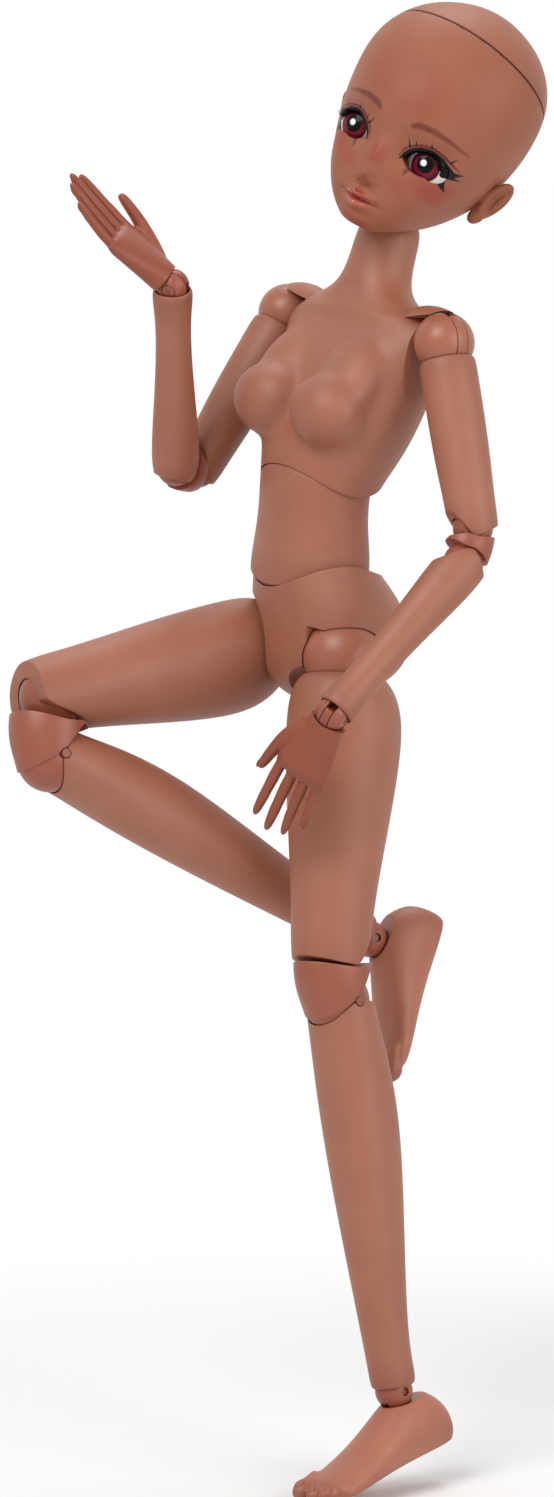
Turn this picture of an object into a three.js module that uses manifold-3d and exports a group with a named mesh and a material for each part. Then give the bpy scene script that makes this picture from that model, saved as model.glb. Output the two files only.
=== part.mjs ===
// A ball jointed doll, built as separate shells, balls, tabs, pins and stems.
// Millimetres, +Z up. The doll faces -Y and its left side is +X. The origin is under the crotch.

import * as THREE from 'three';
import { mergeVertices } from 'three/addons/utils/BufferGeometryUtils.js';
import Module from 'manifold-3d';

const wasm = await Module();
wasm.setup();

// Clearances that every fit is worked out from.
const ballGap = 0.5;
const seamGap = 0.5;
const pinGap = 0.3;
const slotGap = 0.4;
const overrun = 3;
const farReach = 60;

// Torso sizes. The waist and the chest turn about one point, the core.
const crotchDrop = 22;
const pelvisTall = 65;
const pelvisWide = 37;
const pelvisDeep = 38;
const coreHeight = 50;
const coreForward = 2;
const coreBall = 7;
const coreStem = 4.5;
const coreStemSeat = 10;
const corePin = 1.5;
const cupWall = 2;
const yokeWall = 2.2;
const yokeHalfWide = 4.6;
const yokeDrop = 4.5;
const spineRadius = 5.5;
const coreRoom = 13.2;
const waistSeam = 33;
const chestSeam = 28;
const abdomenTall = 56;
const abdomenWide = 28;
const abdomenDeep = 19.5;
const chestTall = 117.4;
const chestWide = 42.5;
const chestDeep = 20.5;
const shellWall = 3;
const breastWide = 17;
const breastDeep = 15.5;
const breastTall = 18;
const breastSpread = 20;
const breastForward = 15;
const breastHeight = 44.5;
const shoulderSpread = 48.9;
const shoulderHeight = 74.7;
const shoulderBack = 5;
const neckHeight = 124.4;
const neckBack = 8;

// Head sizes, measured from the point that the head turns about.
const neckBall = 6;
const neckStem = 3.4;
const neckStemSeat = 20;
const neckPin = 1.2;
const neckCupWall = 1.6;
const neckYokeWall = 1.8;
const neckRoom = 16.4;
const headTall = 100;
const headWide = 37;
const headDeep = 42;
const skullHeight = 46.1;
const skullBack = -0.7;
const capTilt = 31;
const capLift = 12.5;
const eyeBall = 9.8;
const eyeSpread = 15;
const eyeForward = 25.5;
const eyeHeight = 23.1;
const eyeOpenWide = 9.2;
const eyeOpenTall = 5.9;
const lashDeep = 3;
const lashThick = 1.1;
const noseHigh = 9.6;
const noseForward = 41.4;
const noseWide = 4.2;
const noseDeep = 7.6;
const noseTall = 5.2;
const lipHeight = -1.9;
const lipForward = 39.1;
const lipWide = 7.2;
const lipDeep = 3.4;
const lipTall = 3.8;
const earSpread = 34.5;
const earHeight = 19.1;
const earWide = 2.6;
const earDeep = 5.6;
const earTall = 9.8;
const magnetRadius = 2.4;
const magnetThick = 2.6;

// Arm sizes.
const shoulderBall = 11.5;
const shoulderTabThick = 4.4;
const shoulderPin = 1.5;
const armStem = 3.2;
const armStemLong = 15;
const upperArmLong = 71.8;
const upperArmThick = 10.8;
const elbowLobe = 7.6;
const elbowHalfWide = 5.6;
const elbowGap = 13.7;
const elbowPin = 1.4;
const elbowCollarWide = 8.1;
const elbowCollarDeep = 8.9;
const forearmLong = 77.8;
const forearmThick = 9.3;
const wristBall = 6.4;
const wristTongue = 3.2;
const wristPin = 1.2;
const wristPinHead = 2.5;
const wristPinHeadThick = 1;
const wristStem = 2.4;
const wristStemLong = 9;
const palmLong = 27;
const palmWide = 11.6;
const palmThick = 4.6;
const fingerThick = 2.3;

// Leg sizes.
const hipSpread = 26.7;
const hipBall = 15.2;
const hipTabThick = 4.4;
const hipPin = 1.8;
const hipAxleLong = 7;
const legStem = 3.6;
const legStemLong = 16;
const thighLong = 107.3;
const thighWide = 22.5;
const thighDeep = 25.5;
const kneeLobe = 12.5;
const kneeGap = 24.2;
const kneePin = 1.8;
const kneeWide = 15;
const kneeDeep = 17;
const shinLong = 150.5;
const shinWide = 14.3;
const shinDeep = 17.6;
const ankleBall = 7.2;
const ankleTongue = 3.6;
const anklePin = 1.4;
const ankleStem = 2.8;
const ankleStemLong = 10;
const soleDrop = 26;
const footWide = 14;
const footLong = 51;
const toeThick = 3.1;

// How finely round shapes are faceted.
const bodySides = 16;
const limbSides = 12;
const hipSides = 16;
const kneeSides = 14;
const innerSides = 8;
const ballSides = 12;
const seamSides = 20;
const pinSides = 8;
const fingerSides = 5;

// Pose in degrees, as the doll stands in the photograph.
const pose = {
  pelvisLean: 2.95, pelvisBend: -2.5, waistTurn: 13, waistBend: -4.8, chestBend: -4.2, chestTilt: 1.1,
  neckTurn: 29.4, headNod: 3.4, headTilt: 18.4,
};
const armPose = {
  left: { swing: 8.3, raise: 21.5, twist: -24.9, elbow: 24.3, wristTurn: -20.3, wristBend: 40.3 },
  right: { swing: -23.4, raise: 0.2, twist: 18.4, elbow: 64.6, wristTurn: -24, wristBend: 49 },
};
const legPose = {
  left: { swing: 4.1, raise: 12.3, twist: 14, knee: 6.7, ankleTurn: -1.7, ankle: 8.4 },
  right: { swing: 78.5, raise: -9.4, twist: -18, knee: 69.3, ankleTurn: -5.5, ankle: 4.7 },
};

// Outlines as shares: height, centre towards the back, half width, front and back half depth.
const pelvisShares = [
  [-0.34, 0.11, 0.16, 0.16, 0.21],
  [-0.285, 0.05, 0.34, 0.32, 0.47],
  [-0.2, 0, 0.62, 0.47, 0.79],
  [-0.092, 0, 0.84, 0.53, 0.95],
  [0.031, 0, 0.96, 0.54, 1],
  [0.154, 0, 1, 0.55, 0.95],
  [0.308, 0, 0.97, 0.57, 0.82],
  [0.462, -0.03, 0.84, 0.58, 0.61],
  [0.585, -0.05, 0.77, 0.58, 0.47],
];
const abdomenShares = [
  [-0.6, -0.1, 0.93, 0.93, 0.97],
  [-0.482, -0.1, 0.96, 0.97, 0.97],
  [-0.357, -0.1, 1, 1, 0.97],
  [-0.214, -0.1, 0.97, 1, 0.95],
  [0, -0.1, 0.9, 0.97, 0.92],
  [0.179, -0.1, 0.89, 0.97, 0.92],
  [0.357, -0.1, 0.9, 0.99, 0.92],
  [0.518, -0.1, 0.93, 1, 0.92],
];
const chestShares = [
  [0.043, -0.1, 0.6, 0.95, 0.88],
  [0.119, -0.1, 0.61, 0.95, 0.9],
  [0.204, -0.07, 0.64, 0.95, 0.93],
  [0.307, 0, 0.72, 0.98, 1.05],
  [0.409, 0.12, 0.83, 1, 1.14],
  [0.511, 0.2, 0.93, 0.98, 1.16],
  [0.596, 0.24, 1, 0.86, 1],
  [0.656, 0.24, 1, 0.68, 0.8],
  [0.707, 0.24, 0.8, 0.6, 0.71],
  [0.75, 0.24, 0.49, 0.58, 0.68],
  [0.792, 0.27, 0.34, 0.58, 0.66],
  [0.869, 0.32, 0.3, 0.59, 0.62],
  [0.954, 0.37, 0.3, 0.59, 0.61],
  [1, 0.39, 0.25, 0.49, 0.51],
];
const chestRoomShares = [
  [0.119, -0.1, 0.61, 0.95, 0.9],
  [0.307, 0, 0.7, 0.98, 0.98],
  [0.511, 0.24, 0.84, 0.9, 1],
  [0.62, 0.24, 0.76, 0.72, 0.8],
  [0.7, 0.24, 0.6, 0.58, 0.68],
];
const headShares = [
  [-0.11, -0.637, 0.14, 0.1, 0.14],
  [-0.097, -0.597, 0.24, 0.2, 0.19],
  [-0.058, -0.447, 0.42, 0.44, 0.43],
  [-0.008, -0.307, 0.57, 0.63, 0.57],
  [0.077, -0.137, 0.73, 0.83, 0.64],
  [0.168, -0.067, 0.85, 0.92, 0.76],
  [0.26, -0.047, 0.93, 0.94, 0.85],
  [0.362, -0.017, 0.98, 0.97, 0.89],
  [0.485, -0.017, 1, 0.94, 0.91],
  [0.596, -0.007, 0.95, 0.82, 0.86],
  [0.698, 0.013, 0.77, 0.63, 0.69],
  [0.77, 0.033, 0.51, 0.42, 0.46],
  [0.815, 0.053, 0.16, 0.14, 0.14],
];
const headRoomShares = [
  [0.006, -0.137, 0.6, 0.68, 0.62],
  [0.168, -0.067, 0.85, 0.9, 0.76],
  [0.362, -0.017, 0.98, 0.95, 0.89],
  [0.596, -0.007, 0.95, 0.82, 0.86],
  [0.714, 0.013, 0.68, 0.57, 0.62],
  [0.78, 0.033, 0.3, 0.3, 0.3],
];
const thighShares = [
  [-0.065, 0, 0.65, 0.57, 0.57],
  [-0.103, 0, 0.83, 0.69, 0.75],
  [-0.168, 0, 0.96, 0.75, 0.9],
  [-0.28, 0, 1, 0.76, 0.98],
  [-0.485, 0, 0.92, 0.75, 0.88],
  [-0.727, 0, 0.78, 0.69, 0.69],
  [-0.913, 0, 0.7, 0.65, 0.56],
  [-1.044, 0, 0.68, 0.65, 0.52],
  [-1.156, 0, 0.63, 0.55, 0.49],
];
const shinShares = [
  [0.047, 0.02, 0.95, 0.62, 0.7],
  [-0.067, 0.05, 1, 0.66, 0.78],
  [-0.169, 0.06, 1, 0.72, 0.94],
  [-0.324, 0.05, 0.98, 0.74, 1.02],
  [-0.506, 0.02, 0.87, 0.68, 0.88],
  [-0.708, -0.03, 0.7, 0.57, 0.68],
  [-0.877, -0.04, 0.58, 0.49, 0.52],
  [-0.987, 0, 0.6, 0.49, 0.51],
];
const upperArmShares = [
  [-0.091, 0, 0.9, 0.9, 0.9],
  [-0.132, 0, 1, 1, 1],
  [-0.418, 0, 0.99, 0.99, 1.01],
  [-0.627, 0, 0.96, 0.96, 0.98],
  [-0.808, 0, 0.88, 0.88, 0.93],
  [-0.919, 0, 0.82, 0.86, 0.91],
  [-1.086, 0, 0.8, 0.84, 0.9],
];
const forearmShares = [
  [0.051, 0, 0.93, 0.98, 1.05],
  [-0.129, 0, 0.98, 1, 1.05],
  [-0.321, 0, 0.87, 0.88, 0.92],
  [-0.566, 0, 0.74, 0.74, 0.77],
  [-0.771, 0, 0.71, 0.7, 0.73],
  [-0.9, 0, 0.8, 0.8, 0.82],
  [-0.972, 0, 0.84, 0.84, 0.84],
];

const axisX = new THREE.Vector3(1, 0, 0);
const axisY = new THREE.Vector3(0, 1, 0);
const axisZ = new THREE.Vector3(0, 0, 1);
const radians = THREE.MathUtils.degToRad;

// A closed geometry becomes a solid that can be joined and cut.
function solidOf(geometry) {
  const plain = geometry.index ? geometry.toNonIndexed() : geometry.clone();
  plain.deleteAttribute('normal');
  plain.deleteAttribute('uv');
  const merged = mergeVertices(plain, 1e-4);
  const triangles = [];
  const order = merged.index.array;
  for (let i = 0; i < order.length; i += 3) {
    const [a, b, c] = [order[i], order[i + 1], order[i + 2]];
    if (a !== b && b !== c && a !== c) triangles.push(a, b, c);
  }
  return new wasm.Manifold(new wasm.Mesh({
    numProp: 3,
    vertProperties: new Float32Array(merged.attributes.position.array),
    triVerts: new Uint32Array(triangles),
  }));
}

function join(...solids) {
  return solids.reduce((whole, solid) => whole.add(solid));
}

function cut(solid, ...tools) {
  return tools.reduce((rest, tool) => rest.subtract(tool), solid);
}

// A ball with its poles on Z.
function ball(radius, x, y, z, sides = ballSides) {
  const geometry = new THREE.SphereGeometry(radius, sides, sides / 2);
  geometry.rotateX(Math.PI / 2);
  return solidOf(geometry.translate(x, y, z));
}

// A hollow for a ball: its flats, not its corners, keep the radius.
function hollow(radius, x, y, z, sides = ballSides) {
  return ball(radius / Math.cos(Math.PI / sides) ** 2, x, y, z, sides);
}

function egg(wide, deep, tall, x, y, z, sides = innerSides) {
  const geometry = new THREE.SphereGeometry(1, sides, sides / 2 + 1);
  geometry.rotateX(Math.PI / 2).scale(wide, deep, tall);
  return solidOf(geometry.translate(x, y, z));
}

// A round bar along an axis, from one place on the axis to another.
function rod(axis, radius, from, to, x, y, z, sides = pinSides) {
  const geometry = new THREE.CylinderGeometry(radius, radius, to - from, sides);
  geometry.translate(0, (from + to) / 2, 0);
  if (axis === axisX) geometry.rotateZ(-Math.PI / 2);
  if (axis === axisZ) geometry.rotateX(Math.PI / 2);
  return solidOf(geometry.translate(x, y, z));
}

// A round way for a bar: its flats, not its corners, keep the radius.
function bore(axis, radius, from, to, x, y, z, sides = pinSides) {
  return rod(axis, radius / Math.cos(Math.PI / sides), from, to, x, y, z, sides);
}

// A cone along Z from a low radius to a high one.
function funnel(lowRadius, highRadius, from, to, x, y, z, sides = limbSides) {
  const geometry = new THREE.CylinderGeometry(highRadius, lowRadius, to - from, sides);
  geometry.translate(0, (from + to) / 2, 0).rotateX(Math.PI / 2);
  return solidOf(geometry.translate(x, y, z));
}

function block(low, high) {
  const size = new THREE.Vector3().subVectors(high, low);
  const middle = new THREE.Vector3().addVectors(low, high).multiplyScalar(0.5);
  const geometry = new THREE.BoxGeometry(size.x, size.y, size.z);
  return solidOf(geometry.translate(middle.x, middle.y, middle.z));
}

// A slab across X with a side outline of [y, z] points.
function slabX(points, from, to) {
  const shape = new THREE.Shape(points.map(([y, z]) => new THREE.Vector2(y, z)));
  const geometry = new THREE.ExtrudeGeometry(shape, { depth: to - from, bevelEnabled: false });
  const turnBasis = new THREE.Matrix4().makeBasis(axisY, axisZ, axisX);
  geometry.applyMatrix4(turnBasis);
  return solidOf(geometry.translate(from, 0, 0));
}

// The room that a bar swinging about an axis needs: straight sides, round end.
// Angles start at -Z and open towards `towards`, which is +1 or -1 along the other axis.
function swingRoom(axis, reach, halfBar, fromAngle, toAngle, halfThick, towards) {
  const steps = 5;
  const outline = [];
  const at = (angle, along, aside) => {
    const turn = radians(angle);
    const side = along * Math.sin(turn) + aside * Math.cos(turn);
    return [side * towards, -along * Math.cos(turn) + aside * Math.sin(turn)];
  };
  outline.push(at(fromAngle, 0, -halfBar), at(fromAngle, reach, -halfBar));
  for (let i = 0; i <= steps; i += 1) {
    outline.push(at(fromAngle + (toAngle - fromAngle) * (i / steps), reach, 0));
  }
  outline.push(at(toAngle, reach, halfBar), at(toAngle, 0, halfBar));
  const shape = new THREE.Shape(outline.map(([a, b]) => new THREE.Vector2(a, b)));
  const geometry = new THREE.ExtrudeGeometry(shape, { depth: halfThick * 2, bevelEnabled: false });
  geometry.translate(0, 0, -halfThick);
  const first = axis === axisX ? axisY : axisX;
  const third = new THREE.Vector3().crossVectors(first, axisZ);
  geometry.applyMatrix4(new THREE.Matrix4().makeBasis(first, axisZ, third));
  return solidOf(geometry);
}

// A skin over rings of points, closed at both ends. Rings turn anticlockwise seen from ahead.
function skin(rings) {
  const count = rings[0].length;
  const points = rings.flat();
  const index = [];
  for (let i = 0; i < rings.length - 1; i += 1) {
    for (let j = 0; j < count; j += 1) {
      const next = (j + 1) % count;
      const a = i * count + j;
      const b = i * count + next;
      const c = (i + 1) * count + next;
      const d = (i + 1) * count + j;
      index.push(a, b, c, a, c, d);
    }
  }
  const middleOf = (ring) => {
    const sum = ring.reduce((total, point) => total.add(point), new THREE.Vector3());
    return sum.divideScalar(count);
  };
  const first = points.length;
  const last = first + 1;
  const lastRing = (rings.length - 1) * count;
  points.push(middleOf(rings[0]), middleOf(rings[rings.length - 1]));
  for (let j = 0; j < count; j += 1) {
    const next = (j + 1) % count;
    index.push(first, next, j, last, lastRing + j, lastRing + next);
  }
  const geometry = new THREE.BufferGeometry().setFromPoints(points);
  geometry.setIndex(index);
  return solidOf(geometry);
}

// Rings stacked along Z, from a table of shares: height, centre, half width, front and back depth.
function shell(shares, tall, wide, deep, sides, x, y, z, wall = 0, place = new THREE.Matrix4()) {
  const rows = [...shares].sort((low, high) => low[0] - high[0]);
  return skin(rows.map(([high, back, side, front, rear]) => {
    const ring = [];
    for (let j = 0; j < sides; j += 1) {
      const angle = (j / sides) * Math.PI * 2;
      const half = Math.sin(angle) < 0 ? front * deep - wall : rear * deep - wall;
      const across = (side * wide - wall) * Math.cos(angle);
      const along = back * deep + half * Math.sin(angle);
      const point = new THREE.Vector3(x + across, y + along, z + high * tall);
      ring.push(point.applyMatrix4(place));
    }
    return ring;
  }));
}

// A tapering round limb through points, each with its radius: fingers and toes.
function taper(points, radii, sides) {
  return skin(points.map((point, i) => {
    const before = points[Math.max(i - 1, 0)];
    const after = points[Math.min(i + 1, points.length - 1)];
    const ahead = new THREE.Vector3().subVectors(after, before).normalize();
    const across = new THREE.Vector3().crossVectors(axisX, ahead).normalize();
    const over = new THREE.Vector3().crossVectors(ahead, across);
    const ring = [];
    for (let j = 0; j < sides; j += 1) {
      const angle = (j / sides) * Math.PI * 2;
      const spoke = across.clone().multiplyScalar(Math.cos(angle) * radii[i]);
      ring.push(spoke.addScaledVector(over, Math.sin(angle) * radii[i]).add(point));
    }
    return ring;
  }));
}

const finishes = {
  shell: { color: 0xa5694f, roughness: 0.55 },
  jointBall: { color: 0xa15f4a, roughness: 0.4 },
  skin: { color: 0xa0563f, roughness: 0.5 },
  inner: { color: 0x8a5a48, roughness: 0.5 },
  steel: { color: 0xb9bcc0, roughness: 0.3, metalness: 1 },
  eye: { color: 0x8c1420, roughness: 0.08 },
  lash: { color: 0x120b0b, roughness: 0.6 },
};

function addPiece(group, name, solid, finish) {
  const { vertProperties, triVerts } = solid.getMesh();
  const geometry = new THREE.BufferGeometry();
  geometry.setAttribute('position', new THREE.BufferAttribute(vertProperties, 3));
  geometry.setIndex(new THREE.BufferAttribute(triVerts, 1));
  geometry.computeVertexNormals();
  const material = new THREE.MeshStandardMaterial({ metalness: 0, ...finishes[finish] });
  const mesh = new THREE.Mesh(geometry, material);
  mesh.name = name;
  group.add(mesh);
}

// A group that sits at a place on its parent and is turned about one axis.
function turned(parent, name, x, y, z, axis, degrees) {
  const group = new THREE.Group();
  group.name = name;
  group.position.set(x, y, z);
  group.rotateOnAxis(axis, radians(degrees));
  parent.add(group);
  return group;
}

const doll = new THREE.Group();
doll.name = 'ball_jointed_doll';
const hips = turned(doll, 'hips_lean', 0, 0, crotchDrop, axisY, pose.pelvisLean);
const pelvisGroup = turned(hips, 'pelvis_body', 0, 0, 0, axisX, pose.pelvisBend);

// A bar along X on one side of the doll, between two distances from the middle.
function sideRod(side, radius, near, far, y, z, sides = pinSides) {
  const [from, to] = side > 0 ? [near, far] : [-far, -near];
  return rod(axisX, radius, from, to, 0, y, z, sides);
}

function sideBore(side, radius, near, far, y, z, sides = pinSides) {
  return sideRod(side, radius / Math.cos(Math.PI / sides), near, far, y, z, sides);
}

const everySide = [
  { side: 1, word: 'left' },
  { side: -1, word: 'right' },
];

// Room for a thigh that swings about its hip, seen from the side, as shares of the far reach.
const thighRoomShares = [
  [1, -0.14], [0, 0], [-0.13, 0.25], [-0.35, 0.4], [-1, 0.67], [-1, -1], [1, -1],
];

// How far up the right thigh's own way each cut of a leg room lies.
const swingShares = {
  left: [0.26, 0.08, -0.1],
  right: [1.08, 0.92, 0.76, 0.6, 0.44, 0.26, 0.08, -0.1],
};

// The space of a thigh held as the right one is, swung up by a share of the way.
function drawnUpThigh(side, share) {
  const { raise, twist } = legPose.right;
  const swing = legPose.right.swing * share;
  const place = new THREE.Matrix4().makeTranslation(side * hipSpread, 0, 0)
    .multiply(new THREE.Matrix4().makeRotationX(-radians(swing)))
    .multiply(new THREE.Matrix4().makeRotationY(-side * radians(raise)))
    .multiply(new THREE.Matrix4().makeRotationZ(-side * radians(twist)));
  const upperShares = thighShares.slice(0, 5);
  return shell(upperShares, thighLong, thighWide, thighDeep, limbSides, 0, 0, 0, -seamGap * 2, place);
}

// Pelvis: a bowl for the waist above, and for each leg a ball hollow and the thigh's room.
function makePelvis() {
  const body = shell(pelvisShares, pelvisTall, pelvisWide, pelvisDeep, bodySides, 0, 0, 0);
  const stemFoot = coreHeight - waistSeam - coreStemSeat;
  const cuts = [
    hollow(waistSeam + seamGap, 0, -coreForward, coreHeight, seamSides),
    bore(axisZ, coreStem + pinGap, stemFoot - pinGap, coreHeight, 0, -coreForward, 0),
  ];
  const thighRoom = thighWide + seamGap * 2;
  const rimRadius = hipBall / 2;
  for (const { side, word } of everySide) {
    const room = new THREE.LatheGeometry([
      new THREE.Vector2(rimRadius, -hipBall - seamGap),
      new THREE.Vector2(thighDeep * 0.75, -thighRoom),
      new THREE.Vector2(farReach, -thighRoom),
      new THREE.Vector2(farReach, farReach),
      new THREE.Vector2(rimRadius, farReach),
      new THREE.Vector2(rimRadius, -hipBall - seamGap),
    ], hipSides);
    room.rotateZ(-side * Math.PI / 2).translate(side * hipSpread, 0, 0);
    const wedgeSide = thighRoomShares.map(([y, z]) => [y * farReach, z * farReach]);
    const wedge = slabX(wedgeSide, -farReach, farReach);
    cuts.push(solidOf(room).intersect(wedge));
    for (const share of swingShares[word]) cuts.push(drawnUpThigh(side, share));
    cuts.push(hollow(hipBall + ballGap, side * hipSpread, 0, 0, hipSides));
    cuts.push(sideRod(side, hipBall + seamGap * 4, hipSpread + hipBall * 0.4, farReach, 0, 0, limbSides));
    const axleFoot = hipSpread - hipBall - hipAxleLong;
    cuts.push(sideBore(side, legStem + pinGap, axleFoot - pinGap, hipSpread, 0, 0));
  }
  return cut(body, ...cuts);
}

// Abdomen: rounded below for the pelvis and above for the chest, open through the middle.
function makeAbdomen() {
  const body = shell(abdomenShares, abdomenTall, abdomenWide, abdomenDeep, bodySides, 0, coreForward, 0);
  const down = block(
    new THREE.Vector3(-farReach, -farReach, -farReach),
    new THREE.Vector3(farReach, farReach, 0),
  );
  const low = body.intersect(down).intersect(ball(waistSeam, 0, 0, 0, seamSides));
  const high = cut(body, down).intersect(ball(chestSeam, 0, 0, 0, seamSides));
  const pinSeat = coreRoom + coreBall * 0.7;
  return cut(
    join(low, high),
    ball(coreRoom, 0, 0, 0),
    funnel(coreRoom * 0.95, coreStem * 1.5, -waistSeam - overrun, -coreRoom * 0.6, 0, 0, 0),
    funnel(spineRadius * 1.5, coreRoom * 1.15, coreRoom * 0.6, chestSeam + overrun, 0, 0, 0),
    bore(axisX, corePin + pinGap, -pinSeat - pinGap, pinSeat + pinGap, 0, 0, 0),
  );
}

// The cup bends on the pin. Its two studs, front and back, carry what tilts.
function makeCup(innerBall, wall, pin, yoke) {
  const outer = innerBall + ballGap + wall;
  const studTip = outer + ballGap + yoke;
  const mouthDrop = outer + overrun;
  return cut(
    join(ball(outer, 0, 0, 0), rod(axisY, pin, -studTip, studTip, 0, 0, 0)),
    hollow(innerBall + ballGap, 0, 0, 0),
    funnel(mouthDrop * 1.6, pin / 2, -mouthDrop, 0, 0, 0, 0),
    bore(axisX, pin + pinGap, -mouthDrop, mouthDrop, 0, 0, 0),
  );
}

// The strap that reaches over the cup and takes its two studs.
function makeYoke(innerBall, wall, pin, yoke, halfWide, drop) {
  const inner = innerBall + ballGap + wall + ballGap;
  const outer = inner + yoke;
  const strip = block(
    new THREE.Vector3(-halfWide, -outer - overrun, -drop),
    new THREE.Vector3(halfWide, outer + overrun, outer + overrun),
  );
  return cut(
    ball(outer, 0, 0, 0).intersect(strip),
    hollow(inner, 0, 0, 0),
    bore(axisY, pin + pinGap, -outer - overrun, outer + overrun, 0, 0, 0),
  );
}

// Chest, shoulders and neck: a hollow shell on a spine that ends in the yoke over the core.
function makeChest() {
  const outside = shell(chestShares, chestTall, chestWide, chestDeep, bodySides, 0, 0, 0);
  const room = shell(
    chestRoomShares, chestTall, chestWide, chestDeep, innerSides + 4, 0, 0, 0, shellWall);
  const breasts = everySide.map(({ side }) => egg(
    breastWide, breastDeep, breastTall, side * breastSpread, -breastForward, breastHeight, limbSides));
  const socketWall = shoulderBall + ballGap + shellWall * 0.8;
  const bosses = everySide.map(({ side }) => ball(
    socketWall, side * shoulderSpread, shoulderBack, shoulderHeight).intersect(outside));
  const yokeTop = coreBall + ballGap + cupWall + ballGap;
  const spineTop = chestTall * 0.7342;
  const tools = [
    bore(axisZ, neckStem + pinGap, neckHeight - neckBall - neckStemSeat - pinGap, chestTall + overrun,
      0, neckBack, 0),
  ];
  for (const { side } of everySide) {
    const axleFoot = shoulderSpread - shoulderBall - shellWall * 3;
    const armRoom = new THREE.LatheGeometry([
      new THREE.Vector2(shoulderBall * 0.55, -shoulderBall + ballGap),
      new THREE.Vector2(shoulderBall * 0.8, -upperArmThick - seamGap),
      new THREE.Vector2(farReach, -upperArmThick - seamGap),
      new THREE.Vector2(farReach, farReach),
      new THREE.Vector2(shoulderBall * 0.55, farReach),
      new THREE.Vector2(shoulderBall * 0.55, -shoulderBall + ballGap),
    ], hipSides);
    armRoom.rotateZ(-side * Math.PI / 2).translate(side * shoulderSpread, shoulderBack, shoulderHeight);
    tools.push(
      solidOf(armRoom),
      hollow(shoulderBall + ballGap, side * shoulderSpread, shoulderBack, shoulderHeight),
      sideBore(side, armStem + pinGap, axleFoot, shoulderSpread, shoulderBack, shoulderHeight),
    );
  }
  const bowl = hollow(chestSeam + seamGap, 0, 0, 0, seamSides);
  const trunk = join(cut(join(outside, ...breasts), room, bowl), ...bosses);
  const spine = rod(axisZ, spineRadius, yokeTop, spineTop, 0, 0, 0, limbSides);
  const yoke = makeYoke(coreBall, cupWall, corePin, yokeWall, yokeHalfWide, yokeDrop);
  return cut(join(trunk, spine, yoke), ...tools);
}

// A post: a ball on a stem, with a hole across it for its pin.
function makePost(ballRadius, stem, stemFoot, pin) {
  return cut(
    join(ball(ballRadius, 0, 0, 0), rod(axisZ, stem, -stemFoot, -ballRadius / 2, 0, 0, 0, limbSides)),
    bore(axisX, pin + pinGap, -ballRadius - overrun, ballRadius + overrun, 0, 0, 0),
  );
}

// An oval bar along Y.
function ovalBar(wide, tall, from, to, x, y, z, sides = limbSides) {
  const geometry = new THREE.CylinderGeometry(1, 1, to - from, sides);
  geometry.translate(0, (from + to) / 2, 0).scale(wide, 1, tall);
  return solidOf(geometry.translate(x, y, z));
}

// Everything on the cap's side of its tilted seam.
function capSide(lift) {
  const geometry = new THREE.BoxGeometry(farReach * 4, farReach * 4, farReach * 2);
  geometry.translate(0, 0, farReach + capLift + lift).rotateX(-radians(capTilt));
  return solidOf(geometry.translate(0, skullBack, skullHeight));
}

// A bar square to the cap's seam, near its back edge.
function catchBar(radius, from, to) {
  const inside = headWide * 0.855;
  const geometry = new THREE.CylinderGeometry(radius, radius, to - from, pinSides);
  geometry.rotateX(Math.PI / 2).translate(0, inside, capLift + (from + to) / 2);
  geometry.rotateX(-radians(capTilt));
  return solidOf(geometry.translate(0, skullBack, skullHeight));
}

function makeSkull() {
  const outside = shell(headShares, headTall, headWide, headDeep, bodySides, 0, 0, 0);
  const room = shell(headRoomShares, headTall, headWide, headDeep, innerSides + 6, 0, 0, 0, shellWall);
  return { outside, room };
}

// Head: hollow, with eye openings, a room for the neck and the yoke on a bridge inside.
function makeHead() {
  const { outside, room } = makeSkull();
  const bridgeForward = noseForward - noseWide * 0.6;
  const features = [
    egg(noseWide, noseDeep, noseTall, 0, -noseForward, noseHigh),
    egg(noseWide * 0.8, noseWide, noseTall * 2.6, 0, -bridgeForward, noseHigh + noseTall * 2),
    egg(lipWide, lipDeep, lipTall, 0, -lipForward, lipHeight),
  ];
  const tools = [
    room,
    ball(neckRoom, 0, 0, 0),
    funnel(neckRoom * 1.35, neckRoom * 0.97, -headTall * 0.25, 0, 0, 0, 0),
  ];
  for (const { side } of everySide) {
    features.push(egg(earWide, earDeep, earTall, side * earSpread, skullBack, earHeight));
    tools.push(
      hollow(eyeBall + pinGap, side * eyeSpread, -eyeForward, eyeHeight),
      ovalBar(eyeOpenWide, eyeOpenTall, -farReach, 0, side * eyeSpread, -eyeForward, eyeHeight),
    );
  }
  const yokeTop = neckBall + ballGap * 2 + neckCupWall + neckYokeWall;
  const halfWide = eyeSpread - eyeBall - ballGap;
  const bridge = block(
    new THREE.Vector3(-halfWide, -headDeep, yokeTop - neckYokeWall / 2),
    new THREE.Vector3(halfWide, headDeep, yokeTop + shellWall),
  ).intersect(outside);
  const yoke = makeYoke(neckBall, neckCupWall, neckPin, neckYokeWall, halfWide, yokeDrop);
  const boss = catchBar(magnetRadius + shellWall * 0.7, -magnetThick - shellWall, 0).intersect(outside);
  return cut(
    join(cut(join(outside, ...features), ...tools), bridge, yoke, boss),
    catchBar(magnetRadius + pinGap, -magnetThick - pinGap, overrun),
    capSide(0),
    bore(axisY, neckPin + pinGap, -headDeep * 0.3, headDeep * 0.3, 0, 0, 0),
  );
}

function makeCap() {
  const { outside, room } = makeSkull();
  return cut(outside, room).intersect(capSide(seamGap));
}

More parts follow.
